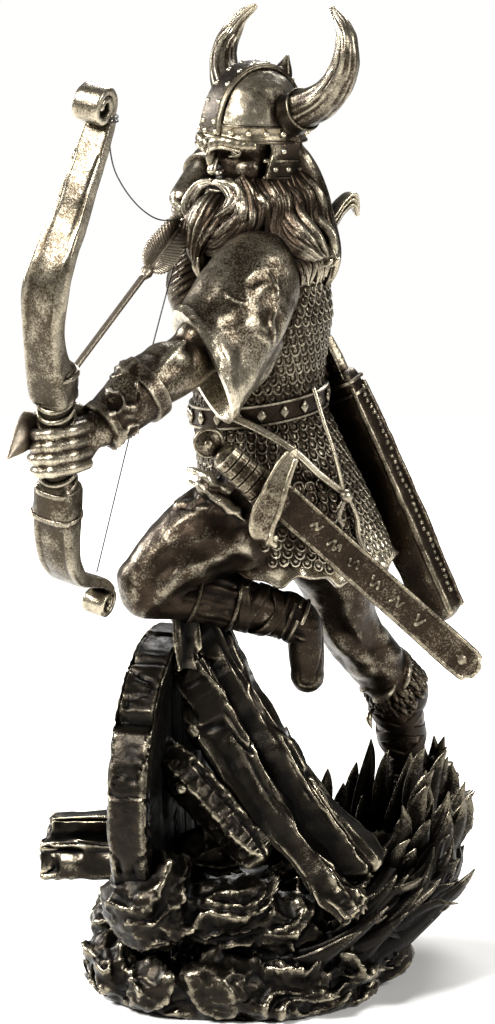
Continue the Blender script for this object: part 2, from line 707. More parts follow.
planks = [
    timber(LONG_PLANK, PLANK_FACE, 180, 72, seed=1),
    timber(DARK_PLANK, PLANK_FACE, 140, 60, seed=2),
    timber(BACK_PLANK, (0.9, 0.2, 0.4), 90, 40, seed=3),
    timber(STUB, (1, 0.2, 0), 40, 44, tear=0.5, seed=4),
    timber(LOW_END, UP, 70, 60, tear=1.2, seed=5),
    timber(HIGH_END, UP, 70, 50, tear=1.2, seed=6),
]
timbers = mesh_object("split_planks", planks)

LOG = [(-23.6, -21, 69.4, 4.6), (-17.6, -23.4, 63.6, 6.1), (-8, -26, 54, 5.9), (0.2, -28.8, 45.4, 5.4), (3, -29.6, 42, 4.8)]


def hewn(t, a):
    """Long facets with crisp corners that twist a little, and a split down one of them."""
    twist = a + 0.5 * t + 0.15 * np.sin(7 * t)
    split = 0.14 * np.exp(-(((a - 4.9 - 0.5 * t) / 0.09) ** 2)) * (t > 0.25)
    return 1.06 - 0.17 * np.abs(np.sin(2.5 * twist)) - split - 0.1 * np.exp(-(((t - 0.28) / 0.05) ** 2 + ((a - 4.4) / 0.3) ** 2))


log_shapes = [
    sweep(LOG, rings=110, sides=64, profile=hewn, caps=5, round_end=0.4),
    sweep([(-14.1, -20.6, 74, 2.2), (-13.2, -17, 72, 2.8), (-12, -14, 70, 3.2)], rings=16, sides=24),
    sweep([(-18, -27.6, 61, 2.2), (-17.4, -29.4, 60.6, 1.6)], rings=10, sides=20),
]
log = mesh_object("log", log_shapes)
ALONG_LOG = np.array([[0.75, 0, -0.66], [0, 1, 0], [0.66, 0, 0.75]])
relief(log, lambda p, n: 0.7 * (ridges(p @ ALONG_LOG, (20, 2.4, 2.6), 2) ** 2 - 0.5) + 0.3 * noise(p, 3))
for piece in (shield, timbers, log):
    stand_flat(piece)
    finished(piece, washed_bronze, "dark_bronze")

# Legs: cloth trousers in soft folds, a quilted cuff below the near knee, pitted leather wraps crossed with
# straps, soft shoes and a fur cuff at the far calf. All of it is one casting with the body.
HIP_NEAR = (13, -11, 131, 15)
THIGH_NEAR = (-5, -14, 128, 12.8)
THIGH_LOW_NEAR = (-16.5, -16, 121, 11.4)
KNEE_NEAR = (-26, -17, 112.2, 8.8)
ANKLE_NEAR = (10, -11, 102.5, 5.2)
TOE_NEAR = (16, -8, 84.8, 4.2)
HIP_FAR = (18, 12, 124, 13.6)
KNEE_FAR = (27, 26, 92, 8.6)
CUFF_FAR = (40.5, 37, 71.5, 7.4)
ANKLE_FAR = (44.5, 45, 45, 5)
TOE_FAR = (41, 43, 35, 4.4)


def ridge(route, thick, rings=20, sides=8):
    """A raised fold that swells in the middle and fades into the cloth at both ends."""
    count = len(route) - 1
    body = [max(thick * math.sin(math.pi * (0.06 + 0.88 * k / count)), 0.2) for k in range(count + 1)]
    return sweep([[*p, b] for p, b in zip(route, body)], rings=rings, sides=sides)


def around(start, end, radii, first, last, share0, share1, steps=6):
    """Points round a limb from start to end, from one angle and share along it to another."""
    start, end = np.array(start[:3], float), np.array(end[:3], float)
    axis = unit(end - start)
    side = unit(np.cross(axis, (0, 1, 0)))
    other = np.cross(axis, side)
    out = []
    for s in np.linspace(0, 1, steps):
        share = share0 + (share1 - share0) * s
        a = math.radians(first + (last - first) * s)
        reach = radii[0] + (radii[1] - radii[0]) * share
        out.append(start + (end - start) * share + reach * (side * math.cos(a) + other * math.sin(a)))
    return out


near_clay = [
    sweep([HIP_NEAR, THIGH_NEAR, THIGH_LOW_NEAR, KNEE_NEAR], rings=40, sides=40, across=UP),
    sweep([KNEE_NEAR, (-12, -16, 109.6, 7.2), (0, -13.6, 106.2, 6.6), ANKLE_NEAR], rings=30, sides=30, across=UP),
    ball((-28.4, -17.6, 114), (6.2, 6.8, 6.2)),
]
# Rolled hem of the tunic across the hip
near_clay.append(ridge([(-16.6, -16, 140.4), (-12, -21, 139.2), (-6, -25.4, 136.2), (0, -28, 131)], 1.7))
near_clay.append(ridge([(-15.6, -14, 142.8), (-10, -20.4, 141.8), (-4, -24.4, 138.8)], 1.4))
near_clay.append(ridge([(-13, -19, 138.4), (-8, -23, 140.4), (-3, -24.8, 136)], 1.1))
near_leg = fused("near_leg", near_clay, grain=0.6, smooth=3)


def folds(p, n, lines, high, wide):
    """Height of folds along lines of x, z and strength, on the side that faces -Y."""
    total = np.zeros(len(p))
    for line in lines:
        track = spline(line, 30)
        gap = np.hypot(p[:, None, 0] - track[None, :, 0], p[:, None, 2] - track[None, :, 1])
        near = gap.argmin(1)
        away = gap.min(1) / wide
        strength = track[near, 2]
        total += strength * (np.exp(-(away**1.6)) - 0.5 * np.exp(-(((away - 2) / 0.9) ** 2)))
    return high * total * np.clip(-2.5 * n[:, 1], 0, 1)


def cloth_face(p, n):
    return 0.35 * noise(p, 9) + 0.16 * noise(p, 2.4)


def leather_face(p):
    """Pits of worn leather, a millimetre or two across."""
    return -0.3 * np.clip(noise(p, 1.6) + 0.2, 0, 1) - 0.2 * np.clip(noise(p + 9, 3), 0, 1)


# Folds from the knee up both sides of the thigh, and the bloused edge over the cuff
THIGH_FOLDS = [
    [(-17, 136.5, 0.2), (-25, 129.6, 0.8), (-29, 121.4, 1), (-29.8, 112.4, 0.4)],
    [(-9, 135, 0.3), (-17.9, 130.5, 0.9), (-24, 123.2, 1), (-25, 115.2, 0.5)],
    [(-1.9, 125.9, 0.6), (-11.7, 126.9, 1), (-18.8, 123.2, 0.5)],
    [(-1, 124, 0.9), (-9, 121.4, 1.4), (-17, 118.7, 1.4), (-22, 112.5, 0.8)],
    [(4, 131, 0.4), (0, 126, 0.9), (1, 120, 1.2), (-2, 115, 0.8)],
    [(-12, 116.4, 0.8), (-18.6, 114.6, 1), (-23.4, 109.4, 0.8)],
]


def near_leg_face(p, n):
    crumpled = 0.8 * noise(p, 2.4) * (p[:, 2] > 133.5) * (p[:, 0] < 1)
    leather = leather_face(p) * (p[:, 0] > -5) * (p[:, 2] < 112)
    return folds(p, n, THIGH_FOLDS, 0.95, 2.3) + cloth_face(p, n) + crumpled + leather


relief(near_leg, near_leg_face)


def straps(start, end, radii, turns, wide=1.2, thick=0.75, shift=0.0):
    """Two flat straps wound opposite ways round a limb, each with a raised edge."""
    out = []
    for hand in (1, -1):
        route = around(start, end, radii, 90 * shift, 90 * shift + hand * 360 * turns, 0, 1, 10 * turns + 1)
        axis = unit(np.array(end[:3], float) - np.array(start[:3], float))
        rim = lambda t, a: 1 + 0.35 * np.abs(np.cos(a)) ** 4 - 0.2 * np.abs(np.sin(a)) ** 6 + 0 * t
        out.append(sweep([[*p, wide, thick] for p in route], rings=30 * turns, sides=12, across=axis, square=0.5, profile=rim))
    return out


# Near calf: a cuff of small raised squares, then bare leather under the straps, laces at the ankle
CALF_TOP = (-13, -16, 109.8)


def gathered(t, a):
    """Uneven gathers along a cuff."""
    return 1 + 0.03 * np.sin(17 * a + 3 * np.sin(2 * a)) + 0.02 * np.sin(9 * t + 5 * a)


near_wrap = [
    sweep([(-14, -16.2, 110, 7.5), (-9, -15.4, 108.8, 7.4), (-4.4, -14.6, 107.4, 7.1)], rings=24, sides=70, across=UP, profile=gathered),
    sweep([(6.6, -12, 103.6, 5.9), (9.4, -11.2, 102.6, 5.9)], rings=8, sides=36, across=UP),
]
near_wrap += straps((-4, -14.6, 107.4), (8, -11.6, 103), (7.1, 5.7), 1, shift=0.4)
near_wrap += straps((-2, -14.2, 106.8), (9, -11.4, 102.8), (6.9, 5.6), 1, shift=1.6)
for k in range(2):
    at = (-14.4 + 10.2 * k, -16.2 + 1.6 * k, 110.1 - 2.7 * k)
    route = around(at, (at[0] + 1, at[1] + 0.2, at[2] - 0.3), (8 - 0.4 * k, 8 - 0.4 * k), 0, 360, 0, 0.4, 25)
    near_wrap.append(sweep([[*p, 0.55] for p in route], rings=60, sides=8))
# Near foot: a soft shoe that hangs from the ankle, with a seam up its side and laces round its top
near_shoe = fused(
    "near_shoe",
    [
        sweep([(10.4, -11.2, 104.4, 5.4, 5.2), (14.6, -10, 100.6, 5.3, 4.8), (15.6, -9, 92, 4.7, 4.8), TOE_NEAR], rings=30, sides=30, across=SIDEWAYS),
        ball((11.6, -10.8, 99.2), (3.6, 4.4, 4.2)),
        ball((15.8, -8.6, 86.2), (4.6, 4.4, 4.6)),
        ridge([(11, -14.6, 101.6), (14, -14.9, 100.4), (17.6, -13.4, 99.4), (19.6, -10.4, 99.2)], 0.9),
        ridge([(11.6, -14.9, 98.8), (14.6, -14.7, 97.4), (18, -12.6, 96.6)], 0.7),
    ],
    grain=0.5,
    smooth=2,
)
relief(near_shoe, lambda p, n: -0.35 * np.clip(1 - np.abs(p[:, 1] + 12.3 - 0.1 * (p[:, 2] - 85)) / 0.5, 0, 1) * (p[:, 0] > 13.5) + 0.12 * noise(p, 2))
for i in range(3):
    top = (8.4 + 2.1 * i, -11.6 + 0.3 * i, 103.4 - 0.9 * i)
    route = around(top, (top[0] + 2, top[1], top[2] - 1), (6.1, 6.1), 40 * i, 40 * i + 360, 0, 0.6, 22)
    near_wrap.append(sweep([[*p, 0.5] for p in route], rings=50, sides=8))
near_wraps = mesh_object("near_calf_wraps", near_wrap)

far_clay = [
    sweep([HIP_FAR, (24, 20, 106, 10.8), KNEE_FAR, CUFF_FAR], rings=50, sides=40, across=(1, 0, 0)),
    sweep([CUFF_FAR, (42.6, 41, 58, 6.7), ANKLE_FAR], rings=24, sides=30, across=(1, 0, 0)),
]
for i in range(5):
    route = around(KNEE_FAR, CUFF_FAR, (9, 7.8), 72 * i, 72 * i + 80, 0.72 + 0.05 * (i % 2), 0.9)
    far_clay.append(ridge(route, 1.1))
far_leg = fused("far_leg", far_clay, grain=0.6, smooth=3)
# Long folds down the trouser leg that gather above the fur cuff
TROUSER_FOLDS = [
    [(24.8, 103.7, 0.6), (27.5, 95.4, 1), (31.3, 87.7, 1), (33.2, 80.2, 0.6)],
    [(20.2, 100.1, 0.6), (22, 91.6, 1), (26.7, 85.7, 1), (31.3, 79.2, 0.8)],
    [(29.4, 102.9, 0.6), (34, 93.5, 1), (38.6, 87.7, 1), (41.3, 84.1, 0.6)],
    [(24.8, 87.7, 0.4), (30.2, 83, 1), (36.7, 81.6, 1.2), (41.5, 83, 0.8)],
    [(28, 79, 0.6), (33, 77.4, 1), (39, 78, 1), (43, 79.6, 0.6)],
]
relief(
    far_leg,
    lambda p, n: folds(p, n, TROUSER_FOLDS, 0.9, 2.1) + cloth_face(p, n) + 0.4 * noise(p, (5, 5, 16)) + leather_face(p) * (p[:, 2] < 68),
)
far_wrap = straps((41, 38.4, 66.5), (44.2, 44.2, 48), (7.2, 5.5), 1)
far_wrap += straps((41, 38.4, 66.5), (44.2, 44.2, 48), (7.2, 5.5), 1, shift=2)
for k, (where, size) in enumerate((((44.3, 44.6, 46.4), 5.4), ((44.4, 44.9, 44.4), 5.5), ((41, 38, 67), 7.3))):
    route = around(where, (where[0] + 0.3, where[1] + 0.4, where[2] - 2), (size, size), 30 * k, 30 * k + 360, 0, 0.5, 22)
    far_wrap.append(sweep([[*p, 0.6] for p in route], rings=50, sides=8))
# Loose ends of the laces
far_wrap.append(ridge([(34.6, 34.6, 66), (33.4, 33, 63.4), (34.2, 32.2, 60.6)], 0.9))
far_wrap.append(ridge([(39.6, 41, 46), (37.6, 40, 44.6), (37.4, 39.4, 42.6)], 0.8))
far_wraps = mesh_object("far_calf_wraps", far_wrap)
far_shoe = fused(
    "far_shoe",
    [
        sweep([(44.5, 45, 46, 4.9), (44, 44.6, 39.8, 4.9), TOE_FAR, (35.4, 41.6, 33.4, 3.4, 2.9)], rings=30, sides=30),
        ridge([(40.2, 42.2, 43), (43.4, 40, 41.6), (47, 41.4, 41.4)], 0.8),
    ],
    grain=0.5,
    smooth=2,
)
relief(far_shoe, cloth_face)

# Fur cuff: short tufts that hang over the top of the boot
cuff_axis = unit(np.array(CUFF_FAR[:3]) - np.array(KNEE_FAR[:3]))
cuff_low = np.array(CUFF_FAR[:3]) + 4.2 * cuff_axis
cuff_high = np.array(CUFF_FAR[:3]) - 3.6 * cuff_axis
fur = [sweep([[*cuff_high, 6.8], [*(cuff_high + 3 * cuff_axis), 8], [*cuff_low, 7.6]], rings=14, sides=36, across=(1, 0, 0))]
for row in range(3):
    for i in range(26):
        a0 = 13.85 * (i + 0.5 * row) + rng.uniform(-3, 3)
        route = around(cuff_high, cuff_low, (7.5, 8.2), a0, a0 + rng.uniform(-14, 14), 0.02 + 0.26 * row, 0.52 + 0.26 * row, 4)
        tuft = [[*p, b] for p, b in zip(route, (0.7, 1.15, 1.0, 0.25))]
        fur.append(sweep(tuft, rings=9, sides=7, caps=2))
fur_cuff = mesh_object("fur_cuff", fur)
body_bronze = bronze("antique_bronze", "#0e0a07", "#33291f", "#c8bda5", shine=0.33, grain=0.42)
dull_bronze = bronze("dull_bronze", "#0e0a07", "#2c241b", "#b4a88f", shine=0.33, grain=0.42, lift=-0.1)
for piece in (near_leg, far_leg):
    finished(piece, body_bronze, "bronze")
for piece in (near_wraps, near_shoe, far_wraps, far_shoe, fur_cuff):
    finished(piece, dull_bronze, "bronze")

# Tunic: heavy cloth that shows below the coat and hangs in deep waves over both thighs.
HEM_FOLDS = 8
HEM_CENTRE = 12.8


def hem_ring(z, reach, wave, lift, grow=0.0):
    angle = 2 * np.pi * np.arange(288) / 288
    fold = np.sin(HEM_FOLDS * angle + 0.5 * np.sin(3 * angle))
    return np.stack(
        [
            HEM_CENTRE + (reach * 1.45 + wave * fold + grow) * np.cos(angle),
            (reach * 1.22 + wave * fold + grow) * np.sin(angle),
            z + lift * fold + 0.6 * np.sin(19 * angle) * lift / 2,
        ],
        -1,
    )


hem_rows = [(128, 13.6, 0.2, 0), (124, 15, 0.6, 0), (121, 15.8, 1.1, 0.3), (118, 16.4, 2, 1.2), (115.6, 16.8, 2.7, 1.8)]
hem_rows = [tuple(r) for r in spline(hem_rows, 22)]
hem_rows += [(114.6, 17.4, 2.8, 2), (113.9, 17.3, 2.8, 2), (113.7, 16.5, 2.8, 2), (114.4, 15.9, 2.5, 1.9)]
hem_rows += [(116, 15, 1.4, 0.8), (119, 13.6, 0.6, 0.2), (124, 12, 0.2, 0)]
tunic = mesh_object("tunic_hem", [loft([hem_ring(*row) for row in hem_rows])])
relief(tunic, lambda p, n: 0.5 * noise(p, (5, 5, 12)) + 0.15 * noise(p, 1.8))
finished(tunic, body_bronze, "bronze")

# Scale coat: small overlapping plates, each with a raised rim and a boss, on a close-fitting body. The
# plates are laid in courses by geometry nodes, and all of it is one casting with the archer.
COAT = np.array(
    [
        (120, 12.6, 0, 24.6, 22),
        (132, 10.2, -0.6, 22, 22.6),
        (145, 6.4, 0, 19.2, 20.6),
        (158, 3, 0, 16.6, 18),
        (168, 3.2, 0, 16.4, 18.8),
        (182, 3.6, 0, 18, 22),
        (192, 4, 0, 16.6, 21.5),
        (198, 4, 0, 13.4, 17.5),
        (203, 4, 0, 9, 11),
    ]
)
SCALE_WIDE = 3.0
SCALE_TALL = 3.9
SCALE_COURSE = 2.55


def on_coat(angle, z, stand=0.0):
    """Points on the coat at an angle and height."""
    cx, cy, wide, deep = (np.interp(z, COAT[:, 0], COAT[:, k]) for k in range(1, 5))
    return np.stack([cx + (wide + stand) * np.cos(angle), cy + (deep + stand) * np.sin(angle), z + 0 * angle], -1)


body_angle = 2 * np.pi * np.arange(96) / 96
coat_rings = [on_coat(body_angle, np.full(96, z), -0.6) for z in np.linspace(119, 203, 44)]
coat_body = mesh_object("coat_body", [loft(coat_rings)])
relief(coat_body, lambda p, n: 0.3 * noise(p, 5))


def scale_plate():
    """One plate, hung from its top edge: a U with a raised rim and a boss, standing towards +Z."""
    sides = 10
    a = 2 * np.pi * (np.arange(sides) + 0.5) / sides
    u = np.cos(a) * 0.5 * SCALE_WIDE
    v = np.where(np.sin(a) > 0, np.sign(np.sin(a)) * np.abs(np.sin(a)) ** 0.4, np.sin(a)) * 0.5 * SCALE_TALL
    rows = [(1, 0.0), (0.96, 0.66), (0.72, 0.62), (0.6, 0.28), (0.26, 0.62)]
    return loft([np.stack([u * s, v * s, u * 0 + h], -1) for s, h in rows])


def laid(name, shape, spots, facing, upright, size, material):
    """Copies of a shape set on spots by geometry nodes: its +Z turns to facing and its +Y to upright."""
    pattern = mesh_object(name + "_pattern", [shape])
    mesh = bpy.data.meshes.new(name)
    mesh.vertices.add(len(spots))
    mesh.vertices.foreach_set("co", (np.asarray(spots, float) * MM).ravel())
    for key, values in (("facing", facing), ("upright", upright)):
        mesh.attributes.new(key, "FLOAT_VECTOR", "POINT").data.foreach_set("vector", np.asarray(values, float).ravel())
    mesh.attributes.new("size", "FLOAT", "POINT").data.foreach_set("value", np.asarray(size, float).ravel())
    piece = bpy.data.objects.new(name, mesh)
    bpy.context.scene.collection.objects.link(piece)
    tree = bpy.data.node_groups.new(name, "GeometryNodeTree")
    tree.interface.new_socket("Geometry", in_out="INPUT", socket_type="NodeSocketGeometry")
    tree.interface.new_socket("Pattern", in_out="INPUT", socket_type="NodeSocketObject")
    tree.interface.new_socket("Scale", in_out="INPUT", socket_type="NodeSocketFloat")
    tree.interface.new_socket("Geometry", in_out="OUTPUT", socket_type="NodeSocketGeometry")
    given = node(tree, "NodeGroupInput")
    read = {}
    for key, kind in (("facing", "FLOAT_VECTOR"), ("upright", "FLOAT_VECTOR"), ("size", "FLOAT")):
        read[key] = node(tree, "GeometryNodeInputNamedAttribute", {"Name": key}, data_type=kind).outputs["Attribute"]
    turn = node(
        tree, "FunctionNodeAxesToRotation", {0: read["facing"], 1: read["upright"]}, primary_axis="Z", secondary_axis="Y"
    )
    times = node(tree, "ShaderNodeMath", {0: read["size"], 1: given.outputs["Scale"]}, operation="MULTIPLY")
    taken = node(tree, "GeometryNodeObjectInfo", {"Object": given.outputs["Pattern"]})
    place = node(
        tree,
        "GeometryNodeInstanceOnPoints",
        {
            "Points": given.outputs["Geometry"],
            "Instance": taken.outputs["Geometry"],
            "Rotation": turn.outputs["Rotation"],
            "Scale": times.outputs[0],
        },
    )
    real = node(tree, "GeometryNodeRealizeInstances", {"Geometry": place.outputs["Instances"]})
    paint = node(tree, "GeometryNodeSetMaterial", {"Geometry": real.outputs["Geometry"], "Material": material})
    node(tree, "NodeGroupOutput", {"Geometry": paint.outputs["Geometry"]})
    laying = piece.modifiers.new("laid", "NODES")
    laying.node_group = tree
    sockets = {s.name: s.identifier for s in tree.interface.items_tree if s.in_out == "INPUT"}
    laying[sockets["Pattern"]] = pattern
    laying[sockets["Scale"]] = 1.0
    settle(piece)
    bpy.data.objects.remove(pattern)
    return piece


SLEEVE_LINE = np.array([(4.4, -18.5, 195.4), (-5.6, -30.4, 181), (-14, -38, 168)])
spots, facing, upright, size = [], [], [], []
thigh = BVHTree.FromObject(near_leg, bpy.context.evaluated_depsgraph_get())
course = 0
for z in np.arange(119, 200.5, SCALE_COURSE):
    wide, deep = (np.interp(z, COAT[:, 0], COAT[:, k]) for k in (3, 4))
    count = int(2 * np.pi * math.sqrt((wide**2 + deep**2) / 2) / (SCALE_WIDE * 0.93))
    a = 2 * np.pi * (np.arange(count) + 0.5 * (course % 2)) / count
    ragged = 0.9 * np.sin(3 * a + 1) + 0.7 * np.sin(7 * a)
    here = on_coat(a, z + 0 * a + (z < 128) * ragged, 0.15)
    out = unit(np.stack([np.cos(a) / wide, np.sin(a) / deep, 0 * a], -1))
    slope = unit(on_coat(a, z + 1.5 + 0 * a) - on_coat(a, z - 1.5 + 0 * a))
    keep = np.min([np.linalg.norm(here - s, axis=1) for s in SLEEVE_LINE], axis=0) > 7
    keep &= (here[:, 0] > 5) | (here[:, 2] > 128)
    # Over the hip the coat lies on the thigh, so its plates move out to it
    for k in np.flatnonzero((here[:, 0] > 3) & (here[:, 2] < 148) & (here[:, 1] < 0)):
        start = (here[k] + 14 * out[k]) * MM
        hit, turned, _, _ = thigh.ray_cast(Vector(start), Vector(-out[k]), 13.5 * MM)
        if hit is not None:
            here[k] = np.array(hit) / MM + 0.15 * out[k]
            out[k] = turned
    spots.append(here[keep])
    facing.append(unit(out + 0.16 * slope - (out * slope).sum(1, keepdims=True) * slope)[keep])
    upright.append(slope[keep])
    size.append(rng.uniform(0.92, 1.06, keep.sum()))
    course += 1
scale_bronze = bronze("scale_bronze", "#0c0906", "#30271d", "#cbc0a8", shine=0.3, grain=0.42, lift=-0.04)
coat = laid(
    "scale_coat",
    scale_plate(),
    np.vstack(spots),
    np.vstack(facing),
    np.vstack(upright),
    np.concatenate(size),
    scale_bronze,
)
finished(coat_body, dull_bronze, "bronze", "archer")
finished(coat, scale_bronze, "bronze")

# Belt: a broad strap with raised edges and diamond-shaped studs, with a narrower strap and a cord that
# hang from it across the scales and end in a knotted tassel.
BELT_HEIGHT = 158
BELT_TILT = 0.16


def on_belt(angle, rise, stand):
    cx, cy, wide, deep = (np.interp(BELT_HEIGHT, COAT[:, 0], COAT[:, k]) for k in range(1, 5))
    x = np.cos(angle)
    return np.stack(
        [cx + (wide + stand) * x, cy + (deep + stand) * np.sin(angle), BELT_HEIGHT + rise + BELT_TILT * wide * x], -1
    )


belt_angle = 2 * np.pi * np.arange(200) / 200
belt_rows = [(-3.1, 0.1), (-3.1, 1.5), (-2.9, 1.9), (-2.4, 1.9), (-2.2, 1.4), (2.0, 1.4), (2.2, 1.9), (2.7, 1.9), (2.9, 1.5), (2.9, 0.1)]
belt_shapes = [loft([on_belt(belt_angle, rise, stand) for rise, stand in belt_rows])]
stud = [np.array([(0, -1.9, h), (1.3, 0, h), (0, 1.9, h), (-1.3, 0, h)]) * (s, s, 1) for s, h in ((1, 0), (1, 0.6), (0.7, 0.95))]
double_strap = lambda t, a: 1 - 0.35 * np.exp(-(((np.abs(np.cos(a))) / 0.25) ** 2)) + 0 * t
STRAP = [(-5, -20.8, 158.4), (3.2, -22.8, 154.8), (12, -23.3, 149.4), (18.6, -22.1, 143), (25.3, -19.4, 137.2)]
CORD = [(17.2, -18.8, 165), (20, -19.8, 155.8), (22.6, -20.2, 148), (25, -19.6, 138)]
belt_shapes += [
    sweep([[*p, 1.05, 0.75] for p in STRAP], rings=60, sides=20, across=(0.4, 0.1, 1), profile=double_strap),
    sweep([[*p, 0.6] for p in CORD], rings=44, sides=10),
    ball((25.4, -19.6, 136.6), (2, 1.8, 1.9)),
    sweep([(25.2, -20, 136, 0.8), (23.8, -20.6, 133.4, 1.2), (23.2, -20.4, 131.2, 1.5), (24.4, -20.2, 129.4, 1.1)], rings=20, sides=12),
    sweep([(26.2, -18.6, 136, 0.7), (28.4, -18, 131, 0.8), (29, -17.2, 125.4, 0.7), (31.4, -15.4, 119, 0.6), (32.6, -14.4, 113.4, 0.4)], rings=36, sides=10),
]
belt = mesh_object("belt", belt_shapes, sharp=50)
stud_angles = np.radians(np.arange(0, 360, 19.0) + 6)
studs = laid(
    "belt_studs",
    loft(stud),
    on_belt(stud_angles, -0.1, 1.4),
    np.stack([np.cos(stud_angles), np.sin(stud_angles), 0 * stud_angles], -1),
    np.tile((0, 0, 1), (len(stud_angles), 1)),
    np.ones(len(stud_angles)),
    body_bronze,
)
finished(belt, body_bronze, "bronze")
finished(studs, body_bronze, "bronze")

# Near arm: a wide short sleeve with scrolls at the shoulder, a bare elbow, a bracer and a fist on the bow.
SHOULDER_NEAR = (2, -22, 190, 7.2)
ELBOW_NEAR = (-15, -38.8, 176.2, 7.1)
BRACER_NEAR = (-27, -50, 171, 7.3)
WRIST_NEAR = (-37.5, -58.5, 162, 5)
SLEEVE_ACROSS = (-0.4, 0, 0.92)
MOUTH_NORMAL = unit((-0.84, -0.38, -0.38))
MOUTH_RIM = np.array((-11.3, -36, 173.4))


def carved(piece, cutters, sharp=35):
    """Takes shapes out of a piece, and leaves a crisp edge."""
    tool = mesh_object(piece.name + "_cut", cutters)
    cut = piece.modifiers.new("cut", "BOOLEAN")
    cut.operation = "DIFFERENCE"
    cut.solver = "EXACT"
    cut.use_self = True
    cut.object = tool
    settle(piece, sharp)
    bpy.data.objects.remove(tool)
    return piece


sleeve_line = [
    (8, -14, 198.4, 6, 7),
    (4.4, -18.5, 196.2, 11.6, 10),
    (-0.8, -25, 189.6, 13.4, 11),
    (-5.6, -30.4, 181.4, 14, 11.2),
    (-10.2, -35, 175.2, 14.2, 11.2),
    (-14.4, -38, 169.4, 14, 11.4),
]
sleeve_clay = [
    sweep(sleeve_line, rings=50, sides=50, across=SLEEVE_ACROSS),
    sweep([(2.6, -25.8, 180, 7.6, 5.2), (-1.6, -28.6, 172.6, 7.4, 5), (-6, -31.4, 165, 4, 3.2)], rings=30, sides=30, across=(1, 0.4, 0)),
]
sleeve = fused("near_sleeve", sleeve_clay, grain=0.55, smooth=4)
# Folds that run from the shoulder to the low corner of the mouth
SLEEVE_FOLDS = [
    [(-12, 187, 0.3), (-7, 181, 1), (-4.4, 174, 1), (-4.4, 166, 0.6)],
    [(3, 186, 0.3), (4, 180, 0.9), (1, 172, 1), (-2, 166, 0.5)],
    [(9, 190, 0.3), (10, 184, 0.8), (7, 176, 0.6)],
]
SCROLL_SPOTS = np.array([(3.7, -33, 193), (-5, -38, 187.6), (5, -34, 184)])


def sleeve_face(p, n):
    """Folds, a raised and tooled band along the hem, and leaf scrolls at the shoulder."""
    from_hem = -(p - MOUTH_RIM) @ MOUTH_NORMAL
    band = np.clip((2.8 - from_hem) / 0.5, 0, 1)
    tooling = 0.3 * ridges(p, 2.2, 1) ** 3
    away = np.min([np.linalg.norm(p - spot, axis=1) for spot in SCROLL_SPOTS], axis=0)
    scrolls = 1.3 * leaf_scrolls(p) * np.clip((6 - away) / 3, 0, 1)
    cloth = folds(p, n, SLEEVE_FOLDS, 0.8, 2.2) + 0.25 * noise(p, 7) + 0.12 * noise(p, 2.4)
    return band * (0.5 + tooling) + (1 - band) * (cloth + scrolls)


mouth_side = unit(np.cross(MOUTH_NORMAL, (0, 0, 1)))
mouth_up = np.cross(mouth_side, MOUTH_NORMAL)
far_side = [MOUTH_RIM + 40 * (s * mouth_side + t * mouth_up) for s, t in ((-1, 1), (1, 1), (1, -1), (-1, -1))]
block = loft([np.array(far_side), np.array(far_side) + 40 * MOUTH_NORMAL])
HOLLOW = [
    (-5.6, -31, 181.6, 9, 7.4),
    (-9.8, -34.4, 175, 11.8, 9.4),
    (-14.2, -38, 168.6, 12.4, 9.9),
    (-19.4, -42, 160.2, 12.6, 10),
]
hollow = sweep(HOLLOW, rings=30, sides=40, across=SLEEVE_ACROSS)

arm_clay = [
    sweep([SHOULDER_NEAR, ELBOW_NEAR, BRACER_NEAR, WRIST_NEAR], rings=50, sides=36, across=UP),
    ball((-12.4, -37.4, 181.4), (6.2, 6.4, 5.6)),
    ball((-17.4, -41.4, 174.6), (5.6, 5.6, 5.4)),
    ball((-20.4, -45.4, 177.4), (6.6, 5.8, 4.6)),
    ball((-13.4, -40.4, 172.4), (3.2, 3.4, 3.2)),
    ridge([(-15, -45.6, 183), (-20, -50, 178.4), (-25, -54.4, 173)], 1.9),
    ridge([(-12, -44.6, 176), (-17.4, -48.2, 171.6), (-23.4, -52, 167.6)], 1.8),
]
near_arm = fused("near_arm", arm_clay, grain=0.6, smooth=4)
bracer_clay = [
    sweep([(-25.4, -48.9, 171, 8.6), (-28, -51, 169, 8.5)], rings=8, sides=60, across=UP, caps=4, round_end=0.1),
    sweep([(-27, -50.2, 169.8, 7.8), (-32, -54.2, 166.2, 7), (-36.4, -57.6, 163, 6)], rings=50, sides=90, across=UP, round_end=0.1),
    sweep([(-35.4, -57, 163.6, 6.7), (-36.8, -58.1, 162.6, 6.7)], rings=6, sides=48, across=UP, caps=4, round_end=0.1),
]
bracer = mesh_object("near_bracer", bracer_clay, sharp=50)


def leaf_scrolls(p):
    """Curling leaves in relief: the crests of noise that swirls."""
    q = warped(warped(p, 6, 3.4), 3, 1.2)
    return ridges(q, (4.4, 4.4, 4.4), 1) ** 4 - 0.3


relief(sleeve, sleeve_face)
carved(sleeve, [block, hollow])
relief(bracer, lambda p, n: 1.3 * leaf_scrolls(p) * (p[:, 0] > -35.2) * (p[:, 0] < -27.4))


